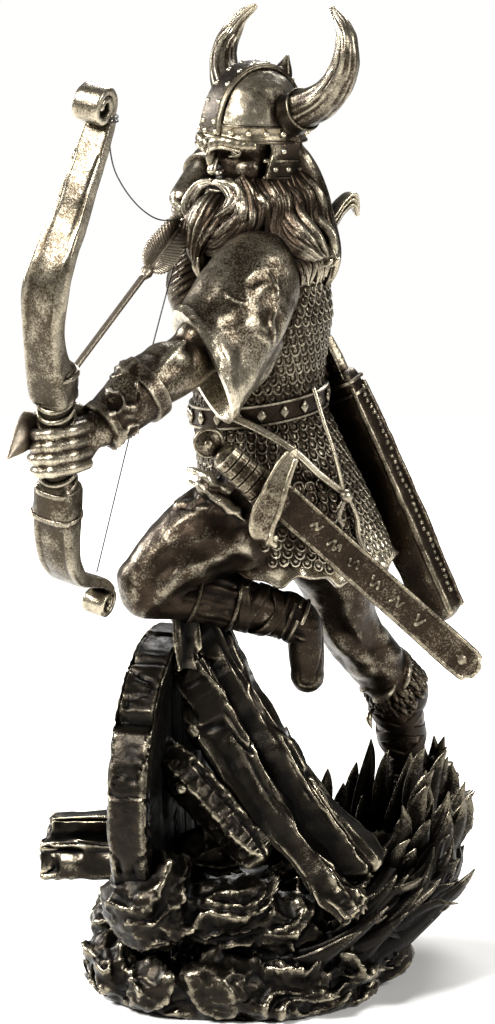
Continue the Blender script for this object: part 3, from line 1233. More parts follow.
# Fist closed round the grip: palm, four fingers with joints and nails, and the thumb over them
hand_clay = [
    sweep([(-37, -58, 162.2, 5), (-39.4, -59.6, 161.4, 4.8, 3.8), (-43, -60.6, 159.4, 6.6, 4.2), (-45.4, -60.4, 158.4, 6.6, 3.4)], rings=30, sides=30, across=UP),
    sweep([(-40, -57.6, 163, 2.6), (-42.6, -56.6, 166, 2.2), (-47.4, -57, 167.6, 1.9), (-51.6, -58.2, 167.4, 1.5)], rings=24, sides=16, across=UP),
]
for i in range(4):
    z = 164 - 3.18 * i
    reach = 0.8 if i == 3 else 0
    finger = [
        (-40.2, -62.4, z - 0.4, 1.7),
        (-43.6, -67, z - 0.6, 1.85),
        (-46, -68.6, z - 0.9, 1.6),
        (-48.6, -69.2, z - 1.2, 1.78),
        (-50.8 + reach, -68.6, z - 1.5, 1.5),
        (-52.6 + reach, -67.2, z - 1.8, 1.66),
        (-54.1 + reach, -63.8, z - 2, 1.3),
    ]
    hand_clay.append(sweep(finger, rings=40, sides=16, across=UP))
near_hand = fused("near_hand", hand_clay, grain=0.34, smooth=2)
rubbed_bronze = bronze("rubbed_bronze", "#0e0a07", "#3a3024", "#c8bda5", shine=0.31, grain=0.6, lift=0.07)
for piece in (sleeve, near_arm, near_hand):
    finished(piece, rubbed_bronze, "bronze")
finished(bracer, body_bronze, "bronze")

# Far arm: drawn back beside the cheek, its sleeve in swags below the upper arm, two fingers on the string.
SHOULDER_FAR = (5, 23, 190, 10)
ELBOW_FAR = (0, 44, 219, 6.4)
WRIST_FAR = (-10.5, 16, 218, 4.4)
HAND_FAR = (-17, 2.5, 211.6, 3.6)
far_clay = [
    sweep([SHOULDER_FAR, (3, 35, 206, 8), ELBOW_FAR], rings=30, sides=30),
    sweep([ELBOW_FAR, (-4, 34, 219.4, 6), WRIST_FAR], rings=24, sides=30, across=UP),
    ball((0.4, 43.4, 219), (5.6, 5.8, 5.6)),
]
far_arm = fused("far_arm", far_clay, grain=0.6, smooth=4)
swags = [sweep([(5, 20, 196, 9, 9), (3.6, 29, 200.4, 11, 9.4), (2.6, 36, 205.4, 11.8, 8.6)], rings=30, sides=40, across=(0.2, 0, 1))]
for i in range(6):
    y = 21 + 3 * i
    z = 195 + 2 * i
    swags.append(ridge([(-5.4, y, z + 4), (-3, y + 1, z - 3), (2.4, y + 2.6, z - 8.4), (8.6, y + 2, z - 5.6), (12, y, z)], 1.5))
far_sleeve = fused("far_sleeve", swags, grain=0.6, smooth=3)
relief(far_sleeve, cloth_face)
far_hand_clay = [
    sweep([(-9.4, 19, 218.6, 5), WRIST_FAR, (-14, 8.6, 215.4, 4.2, 3.4), HAND_FAR], rings=34, sides=24, across=UP),
    sweep([(-12.8, 8, 213, 1.9), (-14, 4.6, 210.4, 1.6), (-14.6, 1.6, 208.4, 1.3)], rings=16, sides=14),
]
for i in range(3):
    far_hand_clay.append(
        sweep([(-14.6, 4.6 - i * 0.6, 213.6 - i * 2.4, 1.6), (-18.4, 0.8, 211.4 - i * 2.3, 1.5), (-17.4, -1.8, 209.8 - i * 1.6, 1.25)], rings=20, sides=14, across=UP)
    )
far_hand = fused("far_hand", far_hand_clay, grain=0.36, smooth=2)
far_bracer = mesh_object(
    "far_bracer",
    [
        sweep([(-9.2, 19.4, 218.6, 5.2), (-10.4, 16.4, 218, 5.4), (-11.8, 12.8, 217, 5.2)], rings=12, sides=40, across=UP, round_end=0.1),
        sweep([(-9.2, 19.6, 218.6, 5.7), (-9.5, 18.7, 218.4, 5.7)], rings=4, sides=40, across=UP, caps=4, round_end=0.1),
        sweep([(-11.5, 13.4, 217.2, 5.6), (-11.8, 12.6, 217, 5.6)], rings=4, sides=40, across=UP, caps=4, round_end=0.1),
    ],
    sharp=50,
)
for piece in (far_arm, far_sleeve, far_hand, far_bracer):
    finished(piece, body_bronze, "bronze")

# Cowl: fur gathered at the breast, combed into U-shaped pleats under the beard.
def strands(t, a):
    return 1 + 0.13 * np.cos(6 * a + 5 * t) * np.minimum(1, 6 * t + 0.3)


cowl_clay = [
    sweep(
        [(-9.6, 0.6, 198, 5.6, 7.6), (-12, 0.8, 192, 6.4, 8.2), (-11.6, 1, 186, 5.4, 7.2), (-9.4, 1.4, 179, 2.6, 4.4)],
        rings=30,
        sides=40,
        across=(1, 0, 0),
    )
]
for i in range(30):
    share = i / 29
    z = 201 - 19 * share
    front = -15.2 - 4.8 * math.sin(math.pi * (0.15 + 0.8 * share))
    wave = 0.7 * math.sin(2.1 * i)
    cowl_clay.append(
        sweep(
            [
                (-8, -9.4 + 2 * share, z + 6, 0.5),
                (front + 4.6 + wave, -7.6 + share, z + 1.4 + wave, 1.0),
                (front, -2.4, z - 3, 1.2),
                (front + 0.8, 3.4, z - 3.4, 1.1),
                (front + 4.4, 8 - share, z - 0.6 - wave, 1.0),
                (-9, 9.8 - 2 * share, z + 2, 0.5),
            ],
            rings=30,
            sides=10,
            profile=strands,
        )
    )
cowl = mesh_object("cowl", cowl_clay)
finished(cowl, body_bronze, "bronze")

# Head: bare face of the casting on plain, calm proportions, with open eyes below the helmet's brow.
HEAD_CENTRE = np.array((1.4, -2.5, 224.4))
HEAD_YAW = math.radians(35)
HEAD_PITCH = math.radians(3)
HEAD_FORWARD = np.array(
    (-math.cos(HEAD_PITCH) * math.cos(HEAD_YAW), -math.cos(HEAD_PITCH) * math.sin(HEAD_YAW), math.sin(HEAD_PITCH))
)
HEAD_LEFT = unit(np.cross(UP, HEAD_FORWARD))
HEAD_CROWN = np.cross(HEAD_FORWARD, HEAD_LEFT)
HEAD_AXES = np.array([HEAD_FORWARD, HEAD_LEFT, HEAD_CROWN])


def on_head(forward, left, up, *radii):
    """A station given forward, to the archer's left and up from the middle of the head."""
    return [*(HEAD_CENTRE + forward * HEAD_FORWARD + left * HEAD_LEFT + up * HEAD_CROWN), *radii]


def on_head_ball(forward, left, up, radii, rounds=24):
    return ball(on_head(forward, left, up), radii, HEAD_AXES, rounds)


face_clay = [
    on_head_ball(0.4, 0, 0, (10.4, 9, 13.6), 40),
    on_head_ball(5.2, 0, -9.4, (6, 6, 5.4), 32),
    sweep([on_head(10.4, 0, 2.4, 1.1), on_head(11.2, 0, 0, 1.1), on_head(12.4, 0, -3, 1.2), on_head(12.9, 0, -4.4, 1.4, 1.2)], rings=30, sides=20, across=HEAD_LEFT),
    on_head_ball(11.4, 0, -7.9, (1.7, 3.0, 0.75)),
    on_head_ball(11.2, 0, -9.5, (1.7, 2.7, 0.85)),
    on_head_ball(9.6, 0, -13.2, (2.8, 3.2, 2.2)),
    sweep([(4, -1, 214, 7.2), (4.4, 0, 206, 7.6), (4.4, 0, 198, 9)], rings=16, sides=32),
]
for side in (1, -1):
    face_clay += [
        on_head_ball(11.5, side * 1.5, -4.9, (1.1, 1.0, 0.8)),
        on_head_ball(4.5, side * 4.4, -3.6, (4.7, 4.8, 4.6)),
        sweep([on_head(10.6, side * 1.6, 2.9, 0.9), on_head(10.4, side * 4, 3.3, 1.0), on_head(8.6, side * 6.6, 2.6, 0.7)], rings=20, sides=12),
        on_head_ball(-1.6, side * 9.2, -1.6, (2.4, 1.2, 3.6)),
    ]
face = fused("head", face_clay, grain=0.34, smooth=4)


def eye_sockets(p, n):
    local = (p - HEAD_CENTRE) @ HEAD_AXES.T
    dip = np.zeros(len(p))
    for side in (1, -1):
        spot = np.hypot((local[:, 1] - side * 4.1) / 3.1, (local[:, 2] - 0.6) / 1.9)
        dip -= 1.5 * np.exp(-(spot**2) * 1.3) * (local[:, 0] > 0)
    lips = -0.5 * np.exp(-((local[:, 2] + 8.65) ** 2) / 0.1) * (np.abs(local[:, 1]) < 3) * (local[:, 0] > 9)
    return dip + lips + 0.08 * noise(p, 1.6)


relief(face, eye_sockets)
eyes = []
for side in (1, -1):
    eyes.append(on_head_ball(8.1, side * 4.1, 0.5, (1.75, 1.75, 1.75), 28))
    for lift, tall in ((1.25, 1.0), (-0.95, 0.75)):
        lid = [
            on_head(9.5, side * 2.1, 0.4, 0.3),
            on_head(10.05, side * 3.4, 0.45 + lift * 0.75, 0.42 * tall),
            on_head(9.9, side * 4.6, 0.45 + lift * 0.75, 0.42 * tall),
            on_head(9.0, side * 6, 0.3, 0.3),
        ]
        eyes.append(sweep(lid, rings=18, sides=10))
eye_pieces = mesh_object("eyes", eyes)
finished(face, body_bronze, "bronze")
finished(eye_pieces, body_bronze, "bronze")

# Helmet: a hammered dome under a wide riveted crest, a brow band with raised lips, brow ridges over the
# eyes, hinged cheek guards and two ox horns in collars.
DOME_FORWARD = 13.6
DOME_SIDE = 12.2
DOME_UP = 16.6
DOME_LIFT = 6.2


def on_dome(bearing, height, stand=0.0):
    """A point on the dome: bearing from the forehead to the left, height from rim to crown, in degrees."""
    b, h = math.radians(bearing), math.radians(height)
    return on_head(
        (DOME_FORWARD + stand) * math.cos(h) * math.cos(b),
        (DOME_SIDE + stand) * math.cos(h) * math.sin(b),
        DOME_LIFT + (DOME_UP + stand) * math.sin(h),
    )


shell = []
for h in list(np.linspace(-4, 88, 50)):
    shell.append([on_dome(b, h) for b in np.linspace(0, 360, 120, endpoint=False)])
for h in np.linspace(80, -4, 12):
    shell.append([on_dome(b, h, -1.2) for b in np.linspace(0, 360, 120, endpoint=False)])
dome = mesh_object("helmet_dome", [loft(shell)])
relief(dome, lambda p, n: 0.22 * noise(p, 2.6) + 0.1 * noise(p, 1.1))

crest_angle = np.radians(np.linspace(-2, 186, 15))
crest = [
    [*on_head(math.cos(a) * (DOME_FORWARD + 0.1), 0, DOME_LIFT + math.sin(a) * (DOME_UP + 0.1)), 4 - 0.25 * i / 4, 0.9]
    for i, a in enumerate(crest_angle)
]
lip = lambda t, a: 1 + 0 * t + 0 * a
bands = [sweep(crest, rings=90, sides=24, across=HEAD_LEFT, square=0.45)]
for side in (1, -1):
    edge = [
        [*on_head(math.cos(a) * (DOME_FORWARD + 0.3), side * (3.9 - 0.25 * i / 4), DOME_LIFT + math.sin(a) * (DOME_UP - 0.2)), 0.5]
        for i, a in enumerate(crest_angle)
    ]
    bands.append(sweep(edge, rings=90, sides=10))


def band_ring(stand, rise):
    angle = 2 * np.pi * np.arange(140) / 140
    return [
        on_head((DOME_FORWARD + stand) * math.cos(a), (DOME_SIDE + stand) * math.sin(a), DOME_LIFT + rise) for a in angle
    ]


band_rows = [(0, 1.9), (0.6, 2), (0.9, 1.7), (0.9, 1.4), (0.5, 1.1), (0.5, -1.7), (0.9, -2), (1, -2.4), (0.8, -2.7), (0, -2.7)]
bands.append(loft([band_ring(*row) for row in band_rows]))
# Brow ridges: two arcs that meet in a short nasal, cross-hatched, with a bright lower lip
for side in (1, -1):
    brow = [
        on_head(12.9, side * 0.3, 1.0, 1.3, 1.0),
        on_head(14.2, side * 1.8, 2.6, 1.6, 1.1),
        on_head(13.4, side * 5.2, 3.6, 1.6, 1.1),
        on_head(10.2, side * 8.8, 3.0, 1.4, 1.0),
        on_head(7.4, side * 10.8, 3.0, 1.2, 0.9),
    ]
    bands.append(sweep(brow, rings=50, sides=20, across=UP, profile=lambda t, a: 1 + 0.05 * np.sin(60 * t + 2 * a)))
    lower = [
        on_head(13.6, side * 0.4, -0.2, 0.45),
        on_head(14.8, side * 2.0, 1.2, 0.5),
        on_head(14.2, side * 5.4, 2.2, 0.5),
        on_head(11, side * 9.2, 1.6, 0.45),
    ]
    bands.append(sweep(lower, rings=40, sides=10))
bands.append(sweep([on_head(13, 0, 2.2, 1.2), on_head(13.4, 0, -0.4, 1.3), on_head(13.4, 0, -2.4, 0.9)], rings=20, sides=16))
for side in (1, -1):
    guard = [
        on_head(-2, side * 11.2, 6, 5.2, 1.0),
        on_head(-2.2, side * 11.9, 1.6, 4.6, 1.0),
        on_head(-2, side * 12, -1.4, 5.2, 1.0),
        on_head(-1.8, side * 11.8, -5.4, 6, 1.0),
    ]
    bands.append(sweep(guard, rings=40, sides=36, across=HEAD_FORWARD, square=0.4))
    for f, foot in ((2.2, 3.8), (-6.6, -7)):
        post = [on_head(f, side * 11.6, 5, 0.45), on_head(f, side * 12.4, 0.4, 0.45), on_head(foot, side * 12.2, -5, 0.45)]
        bands.append(sweep(post, rings=20, sides=8))
    for up in (-0.9, -5.3):
        row = [on_head(4, side * 11.3, up, 0.6), on_head(0, side * 12.9, up, 0.6), on_head(-5, side * 12.9, up, 0.6)]
        bands.append(sweep([*row, on_head(-8, side * 11.4, up, 0.6)], rings=24, sides=8))
    foot_band = [on_head(3.2, side * 11.7, -3.1, 1.9, 0.5), on_head(-2.2, side * 12.8, -3.1, 2, 0.6), on_head(-7, side * 11.8, -3.1, 1.9, 0.5)]
    bands.append(sweep(foot_band, rings=20, sides=20, across=UP, square=0.4))
bands.append(sweep([(5.6, 1.6, 238.6, 4), (7, 2, 241, 3.6), (9, 2.4, 244.4, 2.6), (10.4, 2.7, 248.8, 0.5)], rings=30, sides=24, profile=lambda t, a: 1 + 0.12 * np.cos(6 * a + 5 * t)))
helmet = mesh_object("helmet_bands", bands, sharp=60)

rivet = ball((0, 0, 0), (0.85, 0.85, 0.75), rounds=12)
rivet_spots, rivet_out = [], []
for a in np.linspace(8, 150, 9):
    for side in (1, -1):
        rivet_spots.append(on_head(math.cos(math.radians(a)) * (DOME_FORWARD + 0.7), side * 2.4, DOME_LIFT + math.sin(math.radians(a)) * (DOME_UP + 0.6)))
for b in np.arange(14, 360, 19):
    rivet_spots.append(on_head((DOME_FORWARD + 1) * math.cos(math.radians(b)), (DOME_SIDE + 1) * math.sin(math.radians(b)), DOME_LIFT - 0.1))
for side in (1, -1):
    for f in (1.6, -2.2, -6):
        rivet_spots.append(on_head(f, side * (13.1 - 0.12 * abs(f + 2.2)), -3.1))
    rivet_spots.append(on_head(-0.6, side * 13, 1.6))
rivet_out = unit(np.array(rivet_spots) - on_head(0, 0, 2))
rivets = laid("helmet_rivets", rivet, rivet_spots, rivet_out, np.tile((0.1, 0.1, 1), (len(rivet_spots), 1)), np.ones(len(rivet_spots)), body_bronze)

HORN_NEAR = [
    (12.8, -11, 236, 5.2),
    (19.1, -18, 239.7, 4.6),
    (22.6, -22, 244, 4.2),
    (24.8, -25, 249.2, 3.7),
    (25.2, -26, 254.1, 3),
    (24.5, -24.5, 258.5, 2.2),
    (21.6, -18.9, 263.4, 0.7),
]
HORN_FAR = [
    (-1.6, 4, 234.6, 4.8),
    (-5.1, 11, 240.2, 4.2),
    (-6.2, 17, 244.8, 3.7),
    (-5.9, 20.5, 249.1, 3.2),
    (-4.4, 22, 252.9, 2.7),
    (-1.7, 20.5, 257.3, 1.8),
    (1.8, 17.2, 260.6, 0.7),
]
horn_shapes = []
for line in (HORN_NEAR, HORN_FAR):
    horn_shapes.append(sweep(line, rings=110, sides=72, across=HEAD_FORWARD, caps=4))
horns = mesh_object("horns", horn_shapes)


def horn_grain(p, n):
    """Long grooves that follow the horn: noise stretched along its nearest length."""
    height = np.zeros(len(p))
    for line in (HORN_NEAR, HORN_FAR):
        track = spline(line, 120)[:, :3]
        gap = ((p[:, None] - track[None]) ** 2).sum(-1)
        near = gap.argmin(1)
        along = unit(np.gradient(track, axis=0))[near]
        side = unit(np.cross(along, HEAD_FORWARD))
        out = p - track[near]
        angle = np.arctan2((out * side).sum(1), (out * np.cross(along, side)).sum(1))
        mine = gap.min(1) < 60
        q = np.stack([2.6 * np.cos(angle), 2.6 * np.sin(angle), near * 0.045], -1)
        height = np.where(mine, 0.34 * noise(q + 3, (0.42, 0.42, 1)) + 0.16 * noise(p, 3), height)
    return height


relief(horns, horn_grain)
collars = []
for start, end, size in (((11.6, -9.8, 235.2), (14.4, -12.7, 236.9), 5.5), ((-2.1, 4.8, 235.5), (-3.7, 8, 237.5), 5)):
    start, end = np.array(start), np.array(end)
    route = around(end, 2 * end - start, (size, size), 0, 360, 0, 0, 33)
    collars.append(sweep([[*p, 0.42] for p in route], rings=70, sides=8))
    collars.append(sweep([[*start, size + 0.2], [*end, size - 0.2]], rings=6, sides=48, round_end=0.1))
collar = mesh_object("horn_collars", collars)
for piece in (dome, rivets, horns):
    finished(piece, body_bronze, "bronze")
finished(helmet, dull_bronze, "bronze")
finished(collar, dull_bronze, "bronze")


# Hair, moustache and beard: long waved locks, each combed into fine strands, blown back over the shoulder.
def combed(first, last, count, waves=1.0, thin=1.0, spread=0.4, turns=8.4, phase=0.0):
    """Locks between two guides that wave together, each a little out of step with its neighbours."""
    first, last = (spline(g, 14) for g in (np.array(first, float), np.array(last, float)))
    out = []
    for i in range(count):
        share = i / max(count - 1, 1)
        line = first + (last - first) * share
        t = np.linspace(0, 1, 14)
        late = phase + 1.6 * share + rng.uniform(-0.7, 0.7)
        wave = waves * np.sin(turns * t + late) * np.minimum(1, 4 * t)
        drift = rng.normal(0, spread, 3)
        heading = unit(np.gradient(line[:, :3], axis=0))
        line[:, :3] += wave[:, None] * unit(np.cross(heading, (0.3, 1, 0.2)))
        line[:, :3] += drift * np.minimum(1, 2 * t)[:, None]
        line[:, 1] -= 0.8 * waves * np.cos(turns * t + late) * np.minimum(1, 4 * t)
        line[:, 3] *= thin * rng.uniform(0.75, 1.2)
        stations = [[x, y, z, r, 0.7 * r] for x, y, z, r in line]
        out.append(sweep(stations, rings=38, sides=18, across=(1, -0.4, 0.1), profile=strands, caps=2))
    return out


near_guides = (
    [(1.4, -12.6, 218.2, 1.2), (2.7, -17, 213.9, 1.7), (4.2, -19, 210.2, 1.8), (6.4, -20.2, 205.5, 1.7), (9.4, -21, 201.9, 1.5), (12, -21.4, 198, 1.1), (12.6, -21.4, 192.6, 0.35)],
    [(13.6, -9.4, 219.6, 1.4), (17.6, -11.2, 213.8, 1.8), (19.4, -12, 208.8, 1.9), (21.6, -12, 204.4, 1.7), (20.8, -12.6, 200, 1.4), (21, -13, 197, 1), (21.4, -12.4, 192.8, 0.35)],
)
over_guides = (
    [(4.4, -12.8, 218.6, 1.3), (7, -17.8, 212.6, 1.7), (8.4, -20.4, 207, 1.7), (12.4, -21.4, 202, 1.4), (15.6, -21, 198.4, 1), (17.6, -20, 199.4, 0.35)],
    [(11.2, -11, 219.4, 1.3), (13.6, -15.2, 213.2, 1.7), (16.4, -16.6, 207, 1.7), (17.4, -17.4, 201.4, 1.4), (20.2, -16.4, 197.6, 1), (21.8, -15, 199.6, 0.35)],
)
back_guides = (
    [(11.8, -7.6, 226.8, 2), (14.6, -8.6, 220.8, 2.6), (19.2, -8, 212, 2.8), (21.4, -8, 204, 2.5), (21.4, -9, 197, 1.6), (19.9, -9.4, 190, 0.35)],
    [(6.4, 8.6, 226.6, 2), (8, 10.6, 219, 2.6), (13.6, 15, 210, 3), (17, 16, 202, 2.6), (19, 14.6, 196, 1.7), (18.6, 13, 189, 0.35)],
)
beard_guides = (
    [(-0.2, -13.4, 218.2, 1.1), (2.6, -17.2, 213.6, 1.6), (3, -19.2, 208.4, 1.8), (0.4, -19, 203.3, 1.7), (-5, -16.6, 200.3, 1.4), (-9.8, -12.4, 199.6, 1), (-12.9, -9.4, 201.3, 0.35)],
    [(-2, -13.8, 216.7, 1.1), (-0.8, -17.2, 212.3, 1.5), (-2.3, -17.8, 208.4, 1.6), (-6.3, -15.8, 205.8, 1.5), (-10.6, -12.4, 204.1, 1.1), (-14.6, -9, 204.9, 0.35)],
)
moustache_guides = (
    [(-8.4, -10.6, 218.2, 0.7), (-4.6, -14.8, 218, 1.1), (-2.2, -16.8, 215.7, 1.3), (-2.8, -17.2, 212.3, 1.3), (-6.7, -15, 209.6, 1.1), (-11.3, -11, 207, 0.8), (-14.9, -8.4, 207.2, 0.3)],
    [(-8.9, -10.4, 217.5, 0.6), (-6.2, -13.8, 216.8, 0.9), (-4.6, -15.4, 214.5, 1), (-6.1, -14.6, 211.7, 0.9), (-9.8, -12, 210.2, 0.7), (-13.2, -9, 209.6, 0.3)],
)
far_moustache = (
    [(-9.4, -9.6, 218.2, 0.7), (-12.6, -5.8, 217, 1.1), (-15.2, -3.6, 213, 1.3), (-16, -3.4, 209.4, 1.2), (-14.2, -5.4, 207, 0.3)],
    [(-9.4, -10, 217.4, 0.6), (-11.6, -7, 215.6, 1), (-13.2, -5, 212, 1.1), (-14, -5, 209, 1), (-13, -7, 206.6, 0.3)],
)
chin_guides = (
    [(-8.6, -12, 211.6, 0.3), (-12.9, -9, 207, 1.3), (-16, -7, 203.8, 1.3), (-15, -7, 200.7, 1.1), (-11.9, -8.6, 199.8, 0.35)],
    [(-10.4, -5, 212.6, 0.3), (-14.7, -3.4, 208.4, 1.3), (-16.8, -2.4, 204.3, 1.4), (-16.3, -2.6, 200.6, 1.1), (-13.3, -5, 198.3, 0.35)],
)
lip_guides = (
    [(-5.4, -12.6, 213.6, 0.25), (-6.8, -15, 210.4, 1), (-9, -15.4, 206, 1.2), (-12.4, -13, 202.4, 1), (-14.4, -10.6, 199.4, 0.3)],
    [(-10.4, -5, 213.6, 0.25), (-13.4, -6.6, 210, 1), (-15.8, -7, 205.4, 1.1), (-16.2, -7.6, 201.4, 0.9), (-15, -8.4, 198, 0.3)],
)
cheek_guides = (
    [(1.8, -12, 219.4, 0.9), (0.6, -14.8, 215.4, 1.3), (0, -17.6, 211, 1.4), (-3, -17.4, 206.6, 1.3), (-8, -14, 203, 0.9), (-11, -11, 203.4, 0.3)],
    [(-3, -11.6, 217, 0.7), (-4, -13.6, 213.6, 1.1), (-5.6, -14.6, 210, 1.2), (-9, -13, 206.6, 1), (-13, -9.6, 205.6, 0.3)],
)
locks = combed(*near_guides, 12, 1.5) + combed(*over_guides, 9, 1.8, phase=1.2) + combed(*back_guides, 14, 1.2)
locks += combed(*beard_guides, 8, 0.6, turns=9.4) + combed(*moustache_guides, 4, 0.25, spread=0.1)
locks += combed(*far_moustache, 3, 0.25, spread=0.1) + combed(*chin_guides, 8, 0.6, thin=0.8, turns=10)
locks += combed(*lip_guides, 9, 0.5, spread=0.35, thin=0.8) + combed(*cheek_guides, 6, 0.5, spread=0.2)
locks += combed(*([(x - 1, y, z + 1.4, 0.8 * r) for x, y, z, r in guide] for guide in beard_guides), 6, 0.7, turns=10, phase=2)
locks += [
    ball((-3.4, -9.4, 206), (7.6, 7.2, 5.8), rounds=32),
    ball((9, -5.4, 211), (8.4, 9, 8.4), rounds=32),
    ball((-12, -10.6, 201), (1.9, 1.9, 1.7), rounds=20),
    sweep([(-12, -10.8, 199.6, 1.4), (-12.6, -11, 196, 1.8), (-12, -11.6, 192, 0.4)], rings=30, sides=20, profile=strands),
]
def combed_mass(t, a):
    """Fine strands all round a thick lock, in shallow waves."""
    return 1 + 0.08 * np.cos(15 * a + 4 * np.sin(4 * t)) * (0.6 + 0.4 * np.cos(5 * a))


chin_beard = [(-6.2, -7.8, 214, 3), (-9.6, -9, 209.6, 4.6), (-12, -9.6, 204.6, 4.4), (-13, -10.2, 199.6, 2.8), (-13, -10.6, 195, 0.5)]
locks.append(sweep(chin_beard, rings=60, sides=90, across=HEAD_LEFT, profile=combed_mass))
hair = mesh_object("hair_and_beard", locks)
cloak_clay = []
for row in range(3):
    cloak_clay.append(
        sweep(
            [
                (15.4, 3 + 0.6 * row, 208.6 - 1.6 * row, 3.4, 1.2),
                (20.6, 3.4 + 0.6 * row, 206.4 - 1.6 * row, 3.6, 1.1),
                (24.4, 5.4 + 0.5 * row, 210.4 - 1.4 * row, 3.2, 0.9),
                (27.2, 7, 212 - 1.2 * row, 2.6, 0.8),
                (28.8, 8, 208.2 - 0.8 * row, 1, 0.6),
            ],
            rings=44,
            sides=24,
            profile=lambda t, a: 1 + 0.1 * np.cos(4 * a + 3 * t),
        )
    )
cloak = mesh_object("cloak_end", cloak_clay)
finished(hair, body_bronze, "bronze")
finished(cloak, body_bronze, "bronze")

# Bow: a recurved bow cast as its own piece and pinned into the fist. Its broad face is rubbed bright, its
# tips are rolled over, and its grip is wound with thong.
GRIP_CENTRE = np.array((-47.6, -63, 160))
BOW_TILT = math.radians(22)
BOW_SWING = math.radians(61.9)
BOW_LONG = np.array((0, -math.sin(BOW_TILT), math.cos(BOW_TILT)))
back = np.array((math.cos(BOW_SWING), math.sin(BOW_SWING), 0))
BOW_BACK = unit(back - BOW_LONG * back.dot(BOW_LONG))
BOW_ACROSS = np.cross(BOW_LONG, BOW_BACK)


def on_bow(towards_string, across, along, *radii):
    return [*(GRIP_CENTRE + towards_string * BOW_BACK + across * BOW_ACROSS + along * BOW_LONG), *radii]


UPPER_ARM = [
    (-1, 14.6, 5.5, 4.4),
    (-2.6, 21, 5.4, 3.8),
    (-4.6, 33, 5.1, 2.6),
    (-3.6, 44.3, 5.9, 2.4),
    (0.4, 51.6, 5.5, 2.3),
    (8.1, 59.3, 4.7, 2.3),
    (13.5, 66.7, 4.4, 2.2),
    (19.4, 73.6, 4.0, 2.1),
    (24.3, 80.1, 3.6, 1.7),
]
LOWER_ARM = [
    (0, -14.6, 5.5, 4.4),
    (-0.6, -21, 5.8, 3.8),
    (-1.2, -28, 5.7, 3.1),
    (-0.1, -36, 5.5, 2.6),
    (3.6, -43, 5.1, 2.1),
    (10, -48, 4.3, 1.7),
    (17.4, -53.4, 3.5, 1.4),
    (20.2, -57, 3.2, 1.2),
]


def rolled(centre, start, turns, first_radius, last_radius, width, thick):
    """A strip rolled into a spiral in the bow's plane."""
    out = []
    for s in np.linspace(0, 1, int(16 * abs(turns))):
        a = math.radians(start) + 2 * math.pi * turns * s
        r = first_radius + (last_radius - first_radius) * s
        out.append(on_bow(centre[0] + r * math.cos(a), 0, centre[1] + r * math.sin(a), width, thick * (1 - 0.3 * s)))
    return sweep(out, rings=110, sides=20, across=BOW_ACROSS, square=0.35, round_end=0.3)


bow_shapes = [
    sweep([on_bow(b, 0, a, w, t) for b, a, w, t in UPPER_ARM], rings=110, sides=36, across=BOW_ACROSS, square=0.38),
    sweep([on_bow(b, 0, a, w, t) for b, a, w, t in LOWER_ARM], rings=90, sides=36, across=BOW_ACROSS, square=0.38),
    sweep([on_bow(0, 0, 17, 4.2), on_bow(0, 0, 0, 4), on_bow(0, 0, -17, 4.2)], rings=30, sides=30, across=BOW_ACROSS),
    rolled((20.7, 85.2), -52, 1.6, 4.9, 1.7, 3.6, 1.2),
    rolled((17.6, -59.8), 40, -1.4, 3.6, 1.3, 3.2, 0.9),
]
# Flared sockets at both ends of the grip, with raised rings
for sign in (1, -1):
    bow_shapes.append(
        sweep(
            [on_bow(0, 0, sign * 13.4, 4.9, 4.5), on_bow(-0.3, 0, sign * 16.5, 5.6, 4.9), on_bow(-1, 0, sign * 20.6, 6.2, 4.7)],
            rings=20,
            sides=40,
            across=BOW_ACROSS,
            square=0.7,
        )
    )
    for a, w, t in ((13.4, 5.4, 5.0), (20.6, 6.6, 5.0)):
        bow_shapes.append(sweep([on_bow(-0.2 if a < 15 else -1, 0, sign * a, w, t), on_bow(-0.2 if a < 15 else -1, 0, sign * (a + 1.1), w, t)], rings=4, sides=40, across=BOW_ACROSS, square=0.7, caps=4, round_end=0.12))
# Thong wound slantwise round the grip
for k in range(9):
    a0 = 12.4 - 3.1 * k
    turn = [on_bow(4.35 * math.cos(t), 4.35 * math.sin(t), a0 + 1.5 * math.cos(t), 0.75) for t in np.linspace(0, 2 * math.pi, 25)]
    bow_shapes.append(sweep(turn, rings=50, sides=10))
bow = mesh_object("recurved_bow", bow_shapes, sharp=50)


def bow_face(p, n):
    local = (p - GRIP_CENTRE) @ np.array([BOW_BACK, BOW_ACROSS, BOW_LONG]).T
    limb = np.abs(local[:, 2]) > 24
    groove = -0.45 * np.exp(-((np.abs(local[:, 1]) - 3.4) ** 2) / 0.12) * (np.abs(n @ BOW_BACK) > 0.6) * (np.abs(local[:, 2]) < 74)
    return limb * (groove + 0.14 * noise(local, (1.6, 1.6, 9)))


relief(bow, bow_face)
drawn_in(bow, 1, -85.4)
bright_bronze = bronze("rubbed_bronze", "#130f0a", "#3d3529", "#c4b9a2", shine=0.3, grain=0.42, lift=0.0)
finished(bow, bright_bronze, "bright_bronze", "bow")

# Arrow: one cast piece, a thin shaft with three barbed feathers at one end and a leaf-shaped head.
NOCK = np.array((-16.8, -4, 206))
ARROW_POINT = np.array((-59.8, -73.4, 157.1))
ARROW_LONG = unit(ARROW_POINT - NOCK)
ARROW_LENGTH = float(np.linalg.norm(ARROW_POINT - NOCK))
BLADE_SIDE = np.array((-0.43, -0.34, 0.84))
BLADE_SIDE = unit(BLADE_SIDE - ARROW_LONG * BLADE_SIDE.dot(ARROW_LONG))
BLADE_OTHER = np.cross(ARROW_LONG, BLADE_SIDE)
HEAD_LENGTH = 17


def on_arrow(along, *radii):
    return [*(NOCK + along * ARROW_LONG), *radii]


